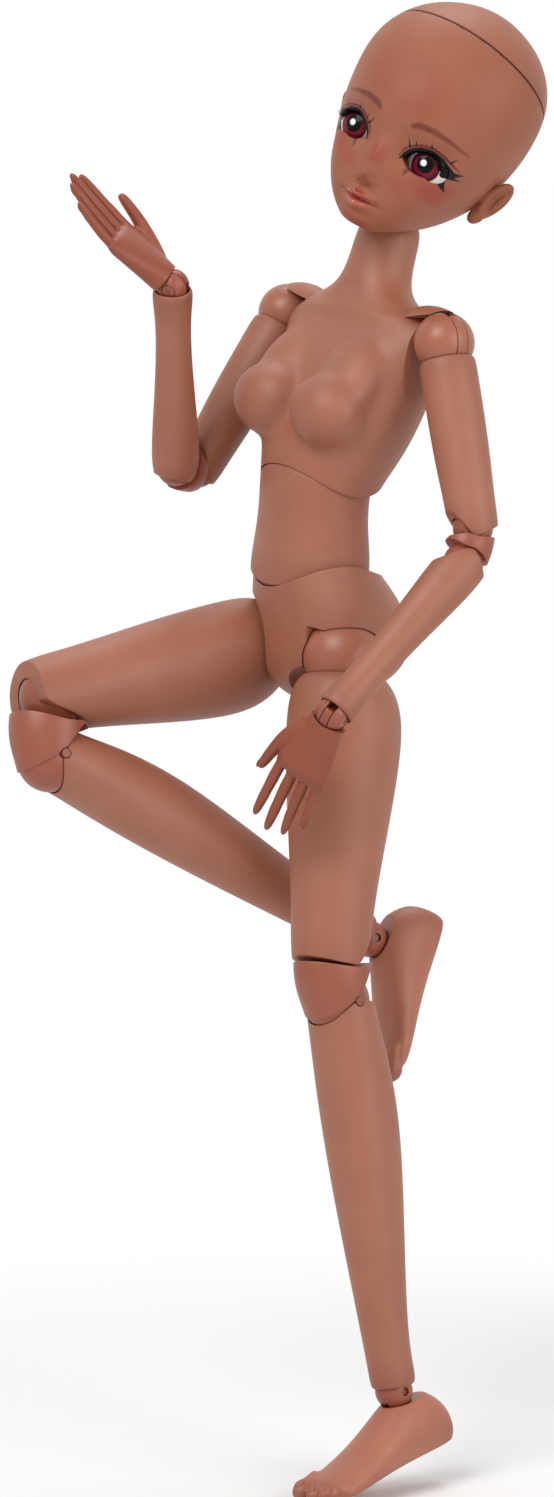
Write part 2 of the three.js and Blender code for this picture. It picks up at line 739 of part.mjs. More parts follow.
// Upper lashes: a thin arch inside the top edge of the eye opening.
function makeLashes(side) {
  const wide = eyeOpenWide - pinGap;
  const tall = eyeOpenTall - pinGap;
  const front = eyeForward + eyeBall + lashThick;
  const arch = cut(
    ovalBar(wide, tall, -front - lashDeep, -front, side * eyeSpread, 0, eyeHeight),
    ovalBar(wide - lashThick, tall - lashThick, -front - farReach, 0, side * eyeSpread, 0, eyeHeight),
  );
  const upper = block(
    new THREE.Vector3(-farReach, -farReach, eyeHeight + eyeOpenTall * 0.3),
    new THREE.Vector3(farReach, 0, farReach),
  );
  return arch.intersect(upper);
}

// Shoulder ball: it turns on an axle in the chest and is slotted for the tab.
function makeShoulderBall(side) {
  const barHalf = armStem + slotGap;
  const reach = shoulderBall + overrun;
  const halfSlot = shoulderTabThick / 2 + slotGap;
  const axleTip = shoulderBall + ballGap + shellWall * 2;
  return cut(
    join(
      ball(shoulderBall, 0, 0, 0),
      sideRod(-side, armStem, shoulderBall * 0.7, axleTip, 0, 0),
    ),
    swingRoom(axisY, reach, barHalf, -40, 95, halfSlot, side),
    swingRoom(axisY, reach, barHalf, 95, 230, halfSlot, side),
    bore(axisY, armStem * 1.5 + slotGap, -halfSlot, halfSlot, 0, 0, 0),
    bore(axisY, shoulderPin + pinGap, -reach, reach, 0, 0, 0),
  );
}

// A stem down the middle of a limb, with a round end that keeps it in.
function limbStem(radius, from, to) {
  return join(
    rod(axisZ, radius, -to, -from, 0, 0, 0),
    rod(axisZ, radius * 1.45, -to, -to + radius * 0.7, 0, 0, 0),
  );
}

// The stem's way through a limb, wide enough below for its round end.
function limbBore(radius, to, end) {
  return [
    bore(axisZ, radius + pinGap, -to, 0, 0, 0, 0),
    bore(axisZ, radius * 1.45 + pinGap * 2, -end, -to + radius * 0.7 + pinGap, 0, 0, 0),
  ];
}

// Shoulder tab: it fills the slot flush with the ball and ends in the arm's stem.
function makeShoulderTab(side) {
  const plate = swingRoom(axisY, shoulderBall * 1.2, armStem, -20, 120, shoulderTabThick / 2, side);
  const foot = shoulderBall + ballGap;
  return cut(
    join(
      plate.intersect(ball(shoulderBall, 0, 0, 0)),
      rod(axisY, armStem * 1.5, -shoulderTabThick / 2, shoulderTabThick / 2, 0, 0, 0),
      block(
        new THREE.Vector3(-armStem * 0.72, -shoulderTabThick / 2, -foot - overrun),
        new THREE.Vector3(armStem * 0.72, shoulderTabThick / 2, 0),
      ),
      limbStem(armStem, foot, shoulderBall + armStemLong),
    ),
    bore(axisY, shoulderPin + pinGap, -shoulderTabThick, shoulderTabThick, 0, 0, 0),
  );
}

// What lies below a slanting rim, seen from the side.
function belowRim(points, drop) {
  const [first] = points;
  const last = points[points.length - 1];
  return slabX([...points, [last[0], -drop], [first[0], -drop]], -farReach, farReach);
}

function aboveRim(points, rise) {
  const [first] = points;
  const last = points[points.length - 1];
  return slabX([[first[0], rise], ...points, [last[0], rise]].reverse(), -farReach, farReach);
}

// Elbow rims as shares of the lobe: the back is closed, the front is open for the fold.
const elbowRimShares = [[-1.6, 1.4], [-1.1, 0.86], [-0.27, -0.45], [0.3, -0.45], [1.1, -0.08], [1.6, 0]];
const elbowPocketEdge = elbowHalfWide + slotGap;

function elbowPocket(z) {
  const slab = block(
    new THREE.Vector3(-elbowPocketEdge, -farReach, -farReach * 2),
    new THREE.Vector3(elbowPocketEdge, farReach, farReach * 2),
  );
  const reach = elbowPocketEdge + shellWall * 0.5;
  return join(hollow(elbowLobe + ballGap, 0, 0, z, limbSides).intersect(slab),
    bore(axisX, elbowPin + pinGap, -reach, reach, 0, 0, z));
}

function makeUpperArm() {
  const rim = elbowRimShares.map(([y, z]) => [y * elbowLobe, z * elbowLobe - upperArmLong]);
  return cut(
    shell(upperArmShares, upperArmLong, upperArmThick, upperArmThick, limbSides, 0, 0, 0),
    hollow(shoulderBall + ballGap, 0, 0, 0),
    ...limbBore(armStem, shoulderBall + armStemLong, upperArmLong),
    elbowPocket(-upperArmLong),
    belowRim(rim, upperArmLong + farReach),
  );
}

const collarEdgeShares = [[1.16, -0.22], [0.33, -0.56], [-0.33, -0.6], [-1.1, -0.84]];
const collarShares = [
  [0, 0, 0.8, 0.82, 0.94],
  [-0.25, 0, 0.96, 0.9, 0.98],
  [-0.5, 0, 1, 0.92, 1],
  [-0.75, 0, 0.96, 0.9, 0.98],
  [-1, 0, 0.8, 0.82, 0.94],
];

// Elbow: a lobe in each arm shell and a waisted collar between them.
function makeElbow() {
  const slab = block(
    new THREE.Vector3(-elbowHalfWide, -farReach, -farReach),
    new THREE.Vector3(elbowHalfWide, farReach, farReach),
  );
  const upperLobe = ball(elbowLobe, 0, 0, 0, limbSides).intersect(slab);
  const lowerLobe = ball(elbowLobe, 0, 0, -elbowGap, limbSides).intersect(slab);
  const upperEdge = collarEdgeShares.map(([y, z]) => [y * elbowLobe, z * elbowLobe]);
  const lowerEdge = upperEdge.map(([y, z]) => [y, -elbowGap - z]);
  const collarSide = [...upperEdge, ...lowerEdge.reverse()];
  const collarSkin = shell(
    collarShares, elbowGap, elbowCollarWide, elbowCollarDeep, limbSides, 0, 0, 0);
  const collar = slabX(collarSide, -farReach, farReach).intersect(collarSkin);
  return cut(
    join(upperLobe, lowerLobe, collar),
    bore(axisX, elbowPin + pinGap, -farReach, farReach, 0, 0, 0),
    bore(axisX, elbowPin + pinGap, -farReach, farReach, 0, 0, -elbowGap),
  );
}

function makeForearm() {
  const rim = elbowRimShares.map(([y, z]) => [y * elbowLobe, -z * elbowLobe]);
  const boreTop = forearmLong - wristBall - wristStemLong + wristStem * 0.7;
  return cut(
    shell(forearmShares, forearmLong, forearmThick, forearmThick, limbSides, 0, 0, 0),
    hollow(wristBall + ballGap, 0, 0, -forearmLong, limbSides),
    bore(axisZ, wristStem + pinGap, -forearmLong, 0, 0, 0, 0),
    bore(axisZ, wristStem * 1.45 + pinGap * 2, -boreTop, 0, 0, 0, 0),
    elbowPocket(0),
    aboveRim(rim, farReach),
  );
}

// A small ball that turns at the end of a limb and is slotted below for a tongue.
function makeEndBall(radius, stem, stemLong, tongue, pin, pinHead, axis, fromAngle, toAngle) {
  const halfSlot = tongue / 2 + slotGap;
  const reach = radius + overrun;
  const tools = [
    swingRoom(axis, reach, tongue * 0.8 + slotGap, fromAngle, toAngle, halfSlot, 1),
    bore(axis, tongue * 0.8 + slotGap, -halfSlot, halfSlot, 0, 0, 0),
    bore(axis, pin + pinGap, -reach, reach, 0, 0, 0),
  ];
  if (pinHead > 0) {
    const seat = radius * 0.86 - wristPinHeadThick - pinGap;
    tools.push(bore(axis, pinHead + pinGap, -reach, -seat, 0, 0, 0));
    tools.push(bore(axis, pinHead + pinGap, seat, reach, 0, 0, 0));
  }
  return cut(
    join(
      ball(radius, 0, 0, 0, limbSides),
      rod(axisZ, stem, radius * 0.8, radius + stemLong, 0, 0, 0),
      rod(axisZ, stem * 1.45, radius + stemLong - stem * 0.7 + pinGap, radius + stemLong, 0, 0, 0),
    ),
    ...tools,
  );
}

function makeWristPin() {
  const seat = wristBall * 0.86;
  return join(
    rod(axisY, wristPin, -seat, seat, 0, 0, 0),
    rod(axisY, wristPinHead, -seat, -seat + wristPinHeadThick, 0, 0, 0),
    rod(axisY, wristPinHead, seat - wristPinHeadThick, seat, 0, 0, 0),
  );
}

const palmShares = [
  [0.13, 0, 0.62, 0.5, 0.5],
  [-0.14, 0, 1.15, 0.64, 0.64],
  [-0.3, 0, 1.15, 0.68, 0.66],
  [-0.55, 0, 1.05, 0.86, 0.8],
  [-0.8, 0, 1, 0.98, 0.92],
  [-1, 0, 0.9, 1, 0.96],
  [-1.1, 0, 0.6, 0.95, 0.9],
];
const palmRimShares = [[-1.2, -0.42], [0, -0.62], [1.2, -0.5]];

// Each finger: place across the palm, length, thickness and how far its tip curls in.
const fingerShares = [
  [-0.74, 1.08, 1, 0.12],
  [-0.25, 1.2, 1.03, 0.16],
  [0.24, 1.12, 0.98, 0.2],
  [0.7, 0.88, 0.86, 0.24],
];

// Along a finger or the thumb: how far along, and how thick there.
const fingerStepShares = [[0, 1.05], [0.34, 1], [0.7, 0.86], [0.94, 0.66], [1, 0.3]];
const thumbShares = [
  [0, -0.4, -0.3, 1.7],
  [0.08, -0.95, -0.62, 1.5],
  [0.24, -1.25, -0.95, 1.15],
  [0.34, -1.42, -1.3, 0.85],
  [0.36, -1.45, -1.36, 0.4],
];

// Hand: palm with a cup for the ball, a tongue in its slot, and five fingers.
function makeHand(side) {
  const inward = -side;
  const palm = shell(palmShares, palmLong, palmThick, palmWide, innerSides, 0, 0, 0);
  const rim = palmRimShares.map(([y, z]) => [y * palmWide, z * wristBall]);
  const cup = cut(palm, hollow(wristBall + ballGap, 0, 0, 0, limbSides), aboveRim(rim, farReach));
  const halfTongue = wristTongue / 2;
  const hub = wristTongue * 0.8;
  const tongue = join(
    rod(axisY, hub, -halfTongue, halfTongue, 0, 0, 0),
    block(
      new THREE.Vector3(-hub * 0.8, -halfTongue, -wristBall - overrun),
      new THREE.Vector3(hub * 0.8, halfTongue, 0),
    ),
  );
  const fingers = fingerShares.map(([across, long, thick, curl]) => {
    const root = -palmLong * 0.92;
    const reach = palmLong * long;
    const points = fingerStepShares.map(([share]) => new THREE.Vector3(
      inward * curl * reach * share * share,
      across * palmWide * (1 + share * 0.12),
      root - reach * share,
    ));
    const radii = fingerStepShares.map(([, share]) => share * thick * fingerThick);
    return taper(points, radii, fingerSides);
  });
  const thumbPoints = thumbShares.map(([x, y, z]) => new THREE.Vector3(
    inward * x * palmWide, y * palmWide, z * palmLong));
  const thumbRadii = thumbShares.map(([, , , share]) => share * fingerThick);
  const thumb = taper(thumbPoints, thumbRadii, fingerSides);
  const pinWay = bore(axisY, wristPin + pinGap, -wristTongue, wristTongue, 0, 0, 0);
  return cut(join(cup, tongue, ...fingers, thumb), pinWay);
}

function makeHipBall(side) {
  const halfSlot = hipTabThick / 2 + slotGap;
  const reach = hipBall + overrun;
  return cut(
    join(
      ball(hipBall, 0, 0, 0, hipSides),
      sideRod(-side, legStem, hipBall * 0.8, hipBall + hipAxleLong, 0, 0),
    ),
    swingRoom(axisY, reach, legStem + slotGap, -40, 40, halfSlot, side),
    bore(axisY, legStem * 1.5 + slotGap, -halfSlot, halfSlot, 0, 0, 0),
    bore(axisY, hipPin + pinGap, -reach, reach, 0, 0, 0),
  );
}

function makeHipTab() {
  const half = hipTabThick / 2;
  const foot = hipBall + ballGap;
  return cut(
    join(
      rod(axisY, legStem * 1.5, -half, half, 0, 0, 0),
      block(
        new THREE.Vector3(-legStem * 0.72, -half, -foot - overrun),
        new THREE.Vector3(legStem * 0.72, half, 0),
      ),
      limbStem(legStem, foot, hipBall + legStemLong),
    ),
    bore(axisY, hipPin + pinGap, -hipTabThick, hipTabThick, 0, 0, 0),
  );
}

// The kneecap side is closed and the back is open, as shares of the lobe.
const thighRimShares = [[-1.6, -0.52], [-0.24, -0.8], [0.24, -0.64], [1.12, 0.76], [1.6, 0.96]];
const shinRimShares = [[-1.6, -0.72], [-0.9, -0.56], [0, 0.03], [1.14, -0.36], [1.6, -0.5]];

function kneePocket(z) {
  const reach = kneeWide - seamGap * 1.5;
  return join(
    hollow(kneeLobe + ballGap, 0, 0, z, kneeSides),
    bore(axisX, kneePin + pinGap, -reach, reach, 0, 0, z),
  );
}

// Thigh: a cup for the hip ball above, hollow inside, and the upper half of the knee below.
function makeThigh() {
  const rim = thighRimShares.map(([y, z]) => [y * kneeLobe, z * kneeLobe - thighLong]);
  const roomShares = thighShares.filter(([z]) => z < -0.4 && z > -1);
  return cut(
    shell(thighShares, thighLong, thighWide, thighDeep, limbSides, 0, 0, 0),
    hollow(hipBall + ballGap, 0, 0, 0, hipSides),
    ...limbBore(legStem, hipBall + legStemLong, thighLong),
    shell(roomShares, thighLong, thighWide, thighDeep, innerSides, 0, 0, 0, shellWall),
    kneePocket(-thighLong),
    belowRim(rim, thighLong + farReach),
  );
}

// The kneecap wedge seen from the side: its top edge, its lower edge and its front.
const wedgeTopShares = [[-1.31, -0.62], [-0.24, -0.87], [0.28, -0.88], [0.64, -0.82], [0.93, -0.85]];
const wedgeLowShares = [[0.93, 0.95], [0.64, 1.02], [0.2, 0.44], [-0.1, 0.08], [-0.93, -0.5]];
const wedgeFrontShares = [[-1.14, -1.78], [-1.36, -0.96]];
const wedgeShares = [
  [0, 0, 0.9, 0.9, 0.8],
  [-0.4, 0, 0.99, 0.98, 0.84],
  [-0.75, 0, 0.97, 0.94, 0.84],
  [-1, 0, 0.92, 0.8, 0.8],
  [-1.3, 0, 0.8, 0.67, 0.7],
];

// Knee: two lobes and the kneecap wedge between the shells.
function makeKnee() {
  const side = [
    ...wedgeTopShares.map(([y, z]) => [y * kneeLobe, z * kneeLobe]),
    ...wedgeLowShares.map(([y, z]) => [y * kneeLobe, z * kneeLobe - kneeGap]),
    ...wedgeFrontShares.map(([y, z]) => [y * kneeLobe, z * kneeLobe]),
  ];
  const wedgeSkin = shell(wedgeShares, kneeGap, kneeWide, kneeDeep, limbSides, 0, 0, 0);
  return cut(
    join(
      ball(kneeLobe, 0, 0, 0, kneeSides),
      ball(kneeLobe, 0, 0, -kneeGap, kneeSides),
      slabX(side, -farReach, farReach).intersect(wedgeSkin),
    ),
    bore(axisX, kneePin + pinGap, -farReach, farReach, 0, 0, 0),
    bore(axisX, kneePin + pinGap, -farReach, farReach, 0, 0, -kneeGap),
  );
}

function makeShin() {
  const rim = shinRimShares.map(([y, z]) => [y * kneeLobe, z * kneeLobe]);
  const roomShares = shinShares.filter(([z]) => z < -0.05 && z > -0.8);
  const stemEnd = shinLong - ankleBall - ankleStemLong + ankleStem * 0.7;
  return cut(
    shell(shinShares, shinLong, shinWide, shinDeep, limbSides, 0, 0, 0),
    kneePocket(0),
    shell(roomShares, shinLong, shinWide, shinDeep, innerSides, 0, 0, 0, shellWall),
    hollow(ankleBall + ballGap, 0, 0, -shinLong, limbSides),
    bore(axisZ, ankleStem + pinGap, -shinLong, -shinLong * 0.7, 0, 0, 0),
    bore(axisZ, ankleStem * 1.45 + pinGap * 2, -stemEnd, -shinLong * 0.6, 0, 0, 0),
    aboveRim(rim, farReach),
  );
}

// Sections from toes to heel: distance along, half width, top and bottom of the foot.
const footShares = [
  [-0.88, 0.9, -0.76, -1.06],
  [-0.8, 1, -0.7, -1.12],
  [-0.64, 0.96, -0.62, -1.12],
  [-0.42, 0.86, -0.46, -1.12],
  [-0.18, 0.78, -0.2, -1.12],
  [0, 0.76, -0.02, -1.14],
  [0.18, 0.72, -0.08, -1.15],
  [0.34, 0.56, -0.34, -1.12],
  [0.39, 0.3, -0.55, -0.98],
];
const footRimShares = [[-1, -0.5], [0, -0.7], [1, -0.74]];

// Each toe: place across the foot, length and thickness. The big toe is on the inner side.
const toeShares = [
  [-0.66, 1, 1.32],
  [-0.16, 0.99, 1],
  [0.18, 0.955, 0.94],
  [0.48, 0.91, 0.88],
  [0.76, 0.85, 0.84],
];

// Along a toe, in toe radii: back from its tip, up from its line, and how thick there.
const toeStepShares = [[2.2, 0.2, 1], [0.9, 0, 0.95], [0.3, -0.08, 0.65], [0, -0.2, 0.25]];

// Foot: flat sole, five toes, a cup for the ankle ball and a tongue in its slot.
function makeFoot(side) {
  const count = limbSides - 2;
  const rings = footShares.map(([along, half, top, bottom]) => {
    const middle = ((top + bottom) / 2) * soleDrop;
    const tall = ((top - bottom) / 2) * soleDrop;
    const ring = [];
    for (let j = 0; j < count; j += 1) {
      const angle = (j / count) * Math.PI * 2;
      const across = -Math.cos(angle) * half * footWide;
      ring.push(new THREE.Vector3(across, along * footLong, middle + Math.sin(angle) * tall));
    }
    return ring;
  });
  const toes = toeShares.map(([across, long, thick]) => {
    const radius = toeThick * thick;
    const low = -soleDrop + radius * 0.8;
    const x = side * across * footWide;
    const tip = -long * footLong;
    const root = new THREE.Vector3(x * 0.92, tip * 0.72, low + radius * 0.5);
    const steps = toeStepShares.map(([back, up]) => new THREE.Vector3(
      x, tip + radius * back, low + radius * up));
    const radii = [radius, ...toeStepShares.map(([, , share]) => share * radius)];
    return taper([root, ...steps], radii, fingerSides + 2);
  });
  const ground = block(
    new THREE.Vector3(-farReach, -farReach, -farReach),
    new THREE.Vector3(farReach, farReach, -soleDrop),
  );
  const rim = footRimShares.map(([y, z]) => [y * footWide, z * ankleBall]);
  const halfTongue = ankleTongue / 2;
  const hub = ankleTongue * 0.8;
  const tongue = join(
    rod(axisX, hub, -halfTongue, halfTongue, 0, 0, 0),
    block(
      new THREE.Vector3(-halfTongue, -hub * 0.8, -ankleBall - overrun),
      new THREE.Vector3(halfTongue, hub * 0.8, 0),
    ),
  );
  const body = cut(
    join(skin(rings), ...toes),
    ground,
    hollow(ankleBall + ballGap, 0, 0, 0, limbSides),
    aboveRim(rim, farReach),
  );
  const pinWay = bore(axisX, anklePin + pinGap, -ankleTongue, ankleTongue, 0, 0, 0);
  return cut(join(body, tongue), pinWay);
}

// Pelvis and waist.
addPiece(pelvisGroup, 'pelvis', makePelvis(), 'shell');
const waistTurn = turned(pelvisGroup, 'waist_turn', 0, -coreForward, coreHeight, axisZ, pose.waistTurn);
const waistPost = makePost(coreBall, coreStem, waistSeam + coreStemSeat, corePin);
addPiece(waistTurn, 'waist_post', waistPost, 'inner');
const waistPinHalf = coreRoom + coreBall * 0.7;
addPiece(waistTurn, 'waist_pin', rod(axisX, corePin, -waistPinHalf, waistPinHalf, 0, 0, 0), 'steel');
const waistBend = turned(waistTurn, 'waist_bend', 0, 0, 0, axisX, pose.waistBend);
addPiece(waistBend, 'abdomen', makeAbdomen(), 'shell');
const chestBend = turned(waistBend, 'chest_bend', 0, 0, 0, axisX, pose.chestBend);
addPiece(chestBend, 'chest_cup', makeCup(coreBall, cupWall, corePin, yokeWall), 'inner');
const chestTilt = turned(chestBend, 'chest_tilt', 0, 0, 0, axisY, pose.chestTilt);
addPiece(chestTilt, 'chest', makeChest(), 'shell');

// Neck and head.
const neckTurn = turned(chestTilt, 'neck_turn', 0, neckBack, neckHeight, axisZ, pose.neckTurn);
addPiece(neckTurn, 'neck_post', makePost(neckBall, neckStem, neckBall + neckStemSeat, neckPin), 'inner');
const neckPinHalf = neckBall + ballGap + neckCupWall * 0.8;
addPiece(neckTurn, 'neck_pin', rod(axisX, neckPin, -neckPinHalf, neckPinHalf, 0, 0, 0), 'steel');
const headNod = turned(neckTurn, 'head_nod', 0, 0, 0, axisX, pose.headNod);
addPiece(headNod, 'neck_cup', makeCup(neckBall, neckCupWall, neckPin, neckYokeWall), 'inner');
const headTilt = turned(headNod, 'head_tilt', 0, 0, 0, axisY, pose.headTilt);
addPiece(headTilt, 'head', makeHead(), 'skin');
addPiece(headTilt, 'head_cap', makeCap(), 'skin');
addPiece(headTilt, 'cap_magnet', catchBar(magnetRadius, -magnetThick, 0), 'steel');
for (const { side, word } of everySide) {
  addPiece(headTilt, `eye_${word}`, ball(eyeBall, side * eyeSpread, -eyeForward, eyeHeight), 'eye');
  addPiece(headTilt, `eyelashes_${word}`, makeLashes(side), 'lash');
}

// Arms.
for (const { side, word } of everySide) {
  const bend = armPose[word];
  const place = [side * shoulderSpread, shoulderBack, shoulderHeight];
  const swing = turned(chestTilt, `shoulder_swing_${word}`, ...place, axisX, bend.swing);
  addPiece(swing, `shoulder_ball_${word}`, makeShoulderBall(side), 'jointBall');
  const pinHalf = shoulderBall - shoulderPin;
  addPiece(swing, `shoulder_pin_${word}`, rod(axisY, shoulderPin, -pinHalf, pinHalf, 0, 0, 0), 'steel');
  const raise = turned(swing, `shoulder_raise_${word}`, 0, 0, 0, axisY, -side * bend.raise);
  addPiece(raise, `shoulder_tab_${word}`, makeShoulderTab(side), 'jointBall');
  const twist = turned(raise, `arm_twist_${word}`, 0, 0, 0, axisZ, bend.twist);
  addPiece(twist, `upper_arm_${word}`, makeUpperArm(), 'shell');
  const elbowPinHalf = elbowPocketEdge + shellWall * 0.4;
  addPiece(twist, `elbow_upper_pin_${word}`,
    rod(axisX, elbowPin, -elbowPinHalf, elbowPinHalf, 0, 0, -upperArmLong), 'steel');
  const elbowUpper = turned(twist, `elbow_upper_${word}`, 0, 0, -upperArmLong, axisX, -bend.elbow);
  addPiece(elbowUpper, `elbow_${word}`, makeElbow(), 'jointBall');
  addPiece(elbowUpper, `elbow_lower_pin_${word}`,
    rod(axisX, elbowPin, -elbowPinHalf, elbowPinHalf, 0, 0, -elbowGap), 'steel');
  const elbowLower = turned(elbowUpper, `elbow_lower_${word}`, 0, 0, -elbowGap, axisX, -bend.elbow);
  addPiece(elbowLower, `forearm_${word}`, makeForearm(), 'shell');
  const wristTurn = turned(elbowLower, `wrist_turn_${word}`, 0, 0, -forearmLong, axisZ, bend.wristTurn);
  const wristPiece = makeEndBall(
    wristBall, wristStem, wristStemLong, wristTongue, wristPin, wristPinHead, axisY, -52, 52);
  addPiece(wristTurn, `wrist_ball_${word}`, wristPiece, 'jointBall');
  addPiece(wristTurn, `wrist_pin_${word}`, makeWristPin(), 'jointBall');
  const wristBend = turned(wristTurn, `wrist_bend_${word}`, 0, 0, 0, axisY, bend.wristBend);
  addPiece(wristBend, `hand_${word}`, makeHand(side), 'skin');
}

// Legs.
for (const { side, word } of everySide) {
  const bend = legPose[word];
  const swing = turned(pelvisGroup, `hip_swing_${word}`, side * hipSpread, 0, 0, axisX, -bend.swing);
  addPiece(swing, `hip_ball_${word}`, makeHipBall(side), 'jointBall');
  const pinHalf = hipBall - hipPin;
  addPiece(swing, `hip_pin_${word}`, rod(axisY, hipPin, -pinHalf, pinHalf, 0, 0, 0), 'steel');
  const raise = turned(swing, `hip_raise_${word}`, 0, 0, 0, axisY, -side * bend.raise);
  addPiece(raise, `hip_tab_${word}`, makeHipTab(), 'inner');
  const twist = turned(raise, `leg_twist_${word}`, 0, 0, 0, axisZ, bend.twist);
  addPiece(twist, `thigh_${word}`, makeThigh(), 'shell');
  const kneePinHalf = kneeWide - seamGap * 1.5 - pinGap;
  addPiece(twist, `knee_upper_pin_${word}`,
    rod(axisX, kneePin, -kneePinHalf, kneePinHalf, 0, 0, -thighLong), 'steel');
  const kneeUpper = turned(twist, `knee_upper_${word}`, 0, 0, -thighLong, axisX, bend.knee);
  addPiece(kneeUpper, `knee_${word}`, makeKnee(), 'jointBall');
  addPiece(kneeUpper, `knee_lower_pin_${word}`,
    rod(axisX, kneePin, -kneePinHalf, kneePinHalf, 0, 0, -kneeGap), 'steel');
  const kneeLower = turned(kneeUpper, `knee_lower_${word}`, 0, 0, -kneeGap, axisX, bend.knee);
  addPiece(kneeLower, `shin_${word}`, makeShin(), 'shell');
  const ankleTurn = turned(kneeLower, `ankle_turn_${word}`, 0, 0, -shinLong, axisZ, bend.ankleTurn);
  const anklePiece = makeEndBall(
    ankleBall, ankleStem, ankleStemLong, ankleTongue, anklePin, 0, axisX, -30, 30);
  addPiece(ankleTurn, `ankle_ball_${word}`, anklePiece, 'jointBall');
  const anklePinHalf = ankleBall - anklePin;
  addPiece(ankleTurn, `ankle_pin_${word}`,
    rod(axisX, anklePin, -anklePinHalf, anklePinHalf, 0, 0, 0), 'steel');
  const ankleBend = turned(ankleTurn, `ankle_bend_${word}`, 0, 0, 0, axisX, bend.ankle);
  addPiece(ankleBend, `foot_${word}`, makeFoot(side), 'skin');
}

export default doll;
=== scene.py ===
import math

import bmesh
import bpy
import numpy as np
from mathutils import Matrix, Vector


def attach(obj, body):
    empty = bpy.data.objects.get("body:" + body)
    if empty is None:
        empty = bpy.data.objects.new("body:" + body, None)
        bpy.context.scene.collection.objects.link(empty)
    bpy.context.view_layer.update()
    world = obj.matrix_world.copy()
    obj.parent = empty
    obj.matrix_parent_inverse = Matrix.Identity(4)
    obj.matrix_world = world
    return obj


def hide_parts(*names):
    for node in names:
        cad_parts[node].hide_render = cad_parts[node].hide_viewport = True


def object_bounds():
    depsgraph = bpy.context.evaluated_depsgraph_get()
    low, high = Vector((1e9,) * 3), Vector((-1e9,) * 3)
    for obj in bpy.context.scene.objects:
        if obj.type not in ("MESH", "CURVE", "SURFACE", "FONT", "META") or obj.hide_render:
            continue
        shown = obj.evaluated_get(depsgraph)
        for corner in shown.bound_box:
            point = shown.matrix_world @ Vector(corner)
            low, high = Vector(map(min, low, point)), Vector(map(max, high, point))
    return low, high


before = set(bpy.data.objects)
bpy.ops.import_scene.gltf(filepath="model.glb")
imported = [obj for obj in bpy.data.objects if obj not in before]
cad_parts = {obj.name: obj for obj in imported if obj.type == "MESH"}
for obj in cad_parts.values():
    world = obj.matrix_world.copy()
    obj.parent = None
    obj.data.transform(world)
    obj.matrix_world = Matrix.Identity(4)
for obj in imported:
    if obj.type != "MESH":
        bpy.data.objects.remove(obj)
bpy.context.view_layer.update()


# Pelvis: a hollow shell of cast plastic that hangs on the waist post. A bowl above takes the
# waist, and a hollow and a room on each side take the hip ball and the thigh.
# Every piece is modelled in millimetres about the joint that carries it, then put in place.
ball_gap = 0.5
seam_gap = 0.5
pin_gap = 0.3
shell_round = 0.5
far_reach = 60.0
waist_seam = 33.0
core_height = 50.0
core_forward = 2.0
core_stem = 4.5
hip_spread = 26.7
hip_ball = 15.2
leg_stem = 3.6
axle_inner = 4.0
core_bore_low = 6.7
pelvis_up = 22.0
pelvis_tilt = 2.95
pelvis_lean = 2.5
pelvis_rings = [
    (-22.1, 4.2, 5.9, 6.1, 8.0),
    (-18.5, 1.9, 12.6, 12.2, 17.9),
    (-13.0, 0.0, 22.9, 17.9, 30.0),
    (-6.0, 0.0, 31.1, 20.1, 36.1),
    (2.0, 0.0, 35.5, 20.5, 38.0),
    (10.0, 0.0, 37.0, 20.9, 36.1),
    (20.0, 0.0, 35.9, 21.7, 31.2),
    (30.0, -1.1, 31.1, 22.0, 23.2),
    (38.0, -1.9, 28.5, 22.0, 17.9),
    (48.0, -1.9, 27.5, 22.0, 16.0),
]
thigh_top_rings = [
    (-52.0, 0, 20.7, 19.1, 22.4),
    (-30.0, 0, 22.5, 19.4, 25.0),
    (-18.0, 0, 21.6, 19.1, 22.9),
    (-11.1, 0, 18.7, 17.6, 19.1),
    (-7.0, 0, 14.6, 14.5, 14.5),
]
leg_room_edge = [
    (60, -18), (14, -6), (6, 6), (-6, 9.5), (-16, 11.5), (-60, 14), (-60, -60), (60, -60),
]
leg_room_inner = 25.0
leg_room_gap = 1.2
leg_pose = {
    "left": dict(swing=4.1, lift=12.3, twist=14.0, knee=6.7, ankle_turn=-1.7, ankle=8.4),
    "right": dict(swing=78.5, lift=-9.4, twist=-18.0, knee=69.3, ankle_turn=-5.5, ankle=4.7),
}
both_sides = (("left", 1), ("right", -1))
swing_shares = {
    "left": [0.26, 0.08, -0.1],
    "right": [1.08, 0.9, 0.72, 0.54, 0.36, 0.18, 0.04, -0.1],
}
shell_brown = (0.338, 0.122, 0.068, 1)
shell_shade = (0.262, 0.078, 0.042, 1)


def deselect():
    if bpy.context.mode != "OBJECT":
        bpy.ops.object.mode_set(mode="OBJECT")
    bpy.ops.object.select_all(action="DESELECT")


def shaped(body, kind, **settings):
    """One modifier, applied."""
    modifier = body.modifiers.new(kind.lower(), kind)
    for key, value in settings.items():
        setattr(modifier, key, value)
    bpy.context.view_layer.objects.active = body
    bpy.ops.object.modifier_apply(modifier=modifier.name)
    return body


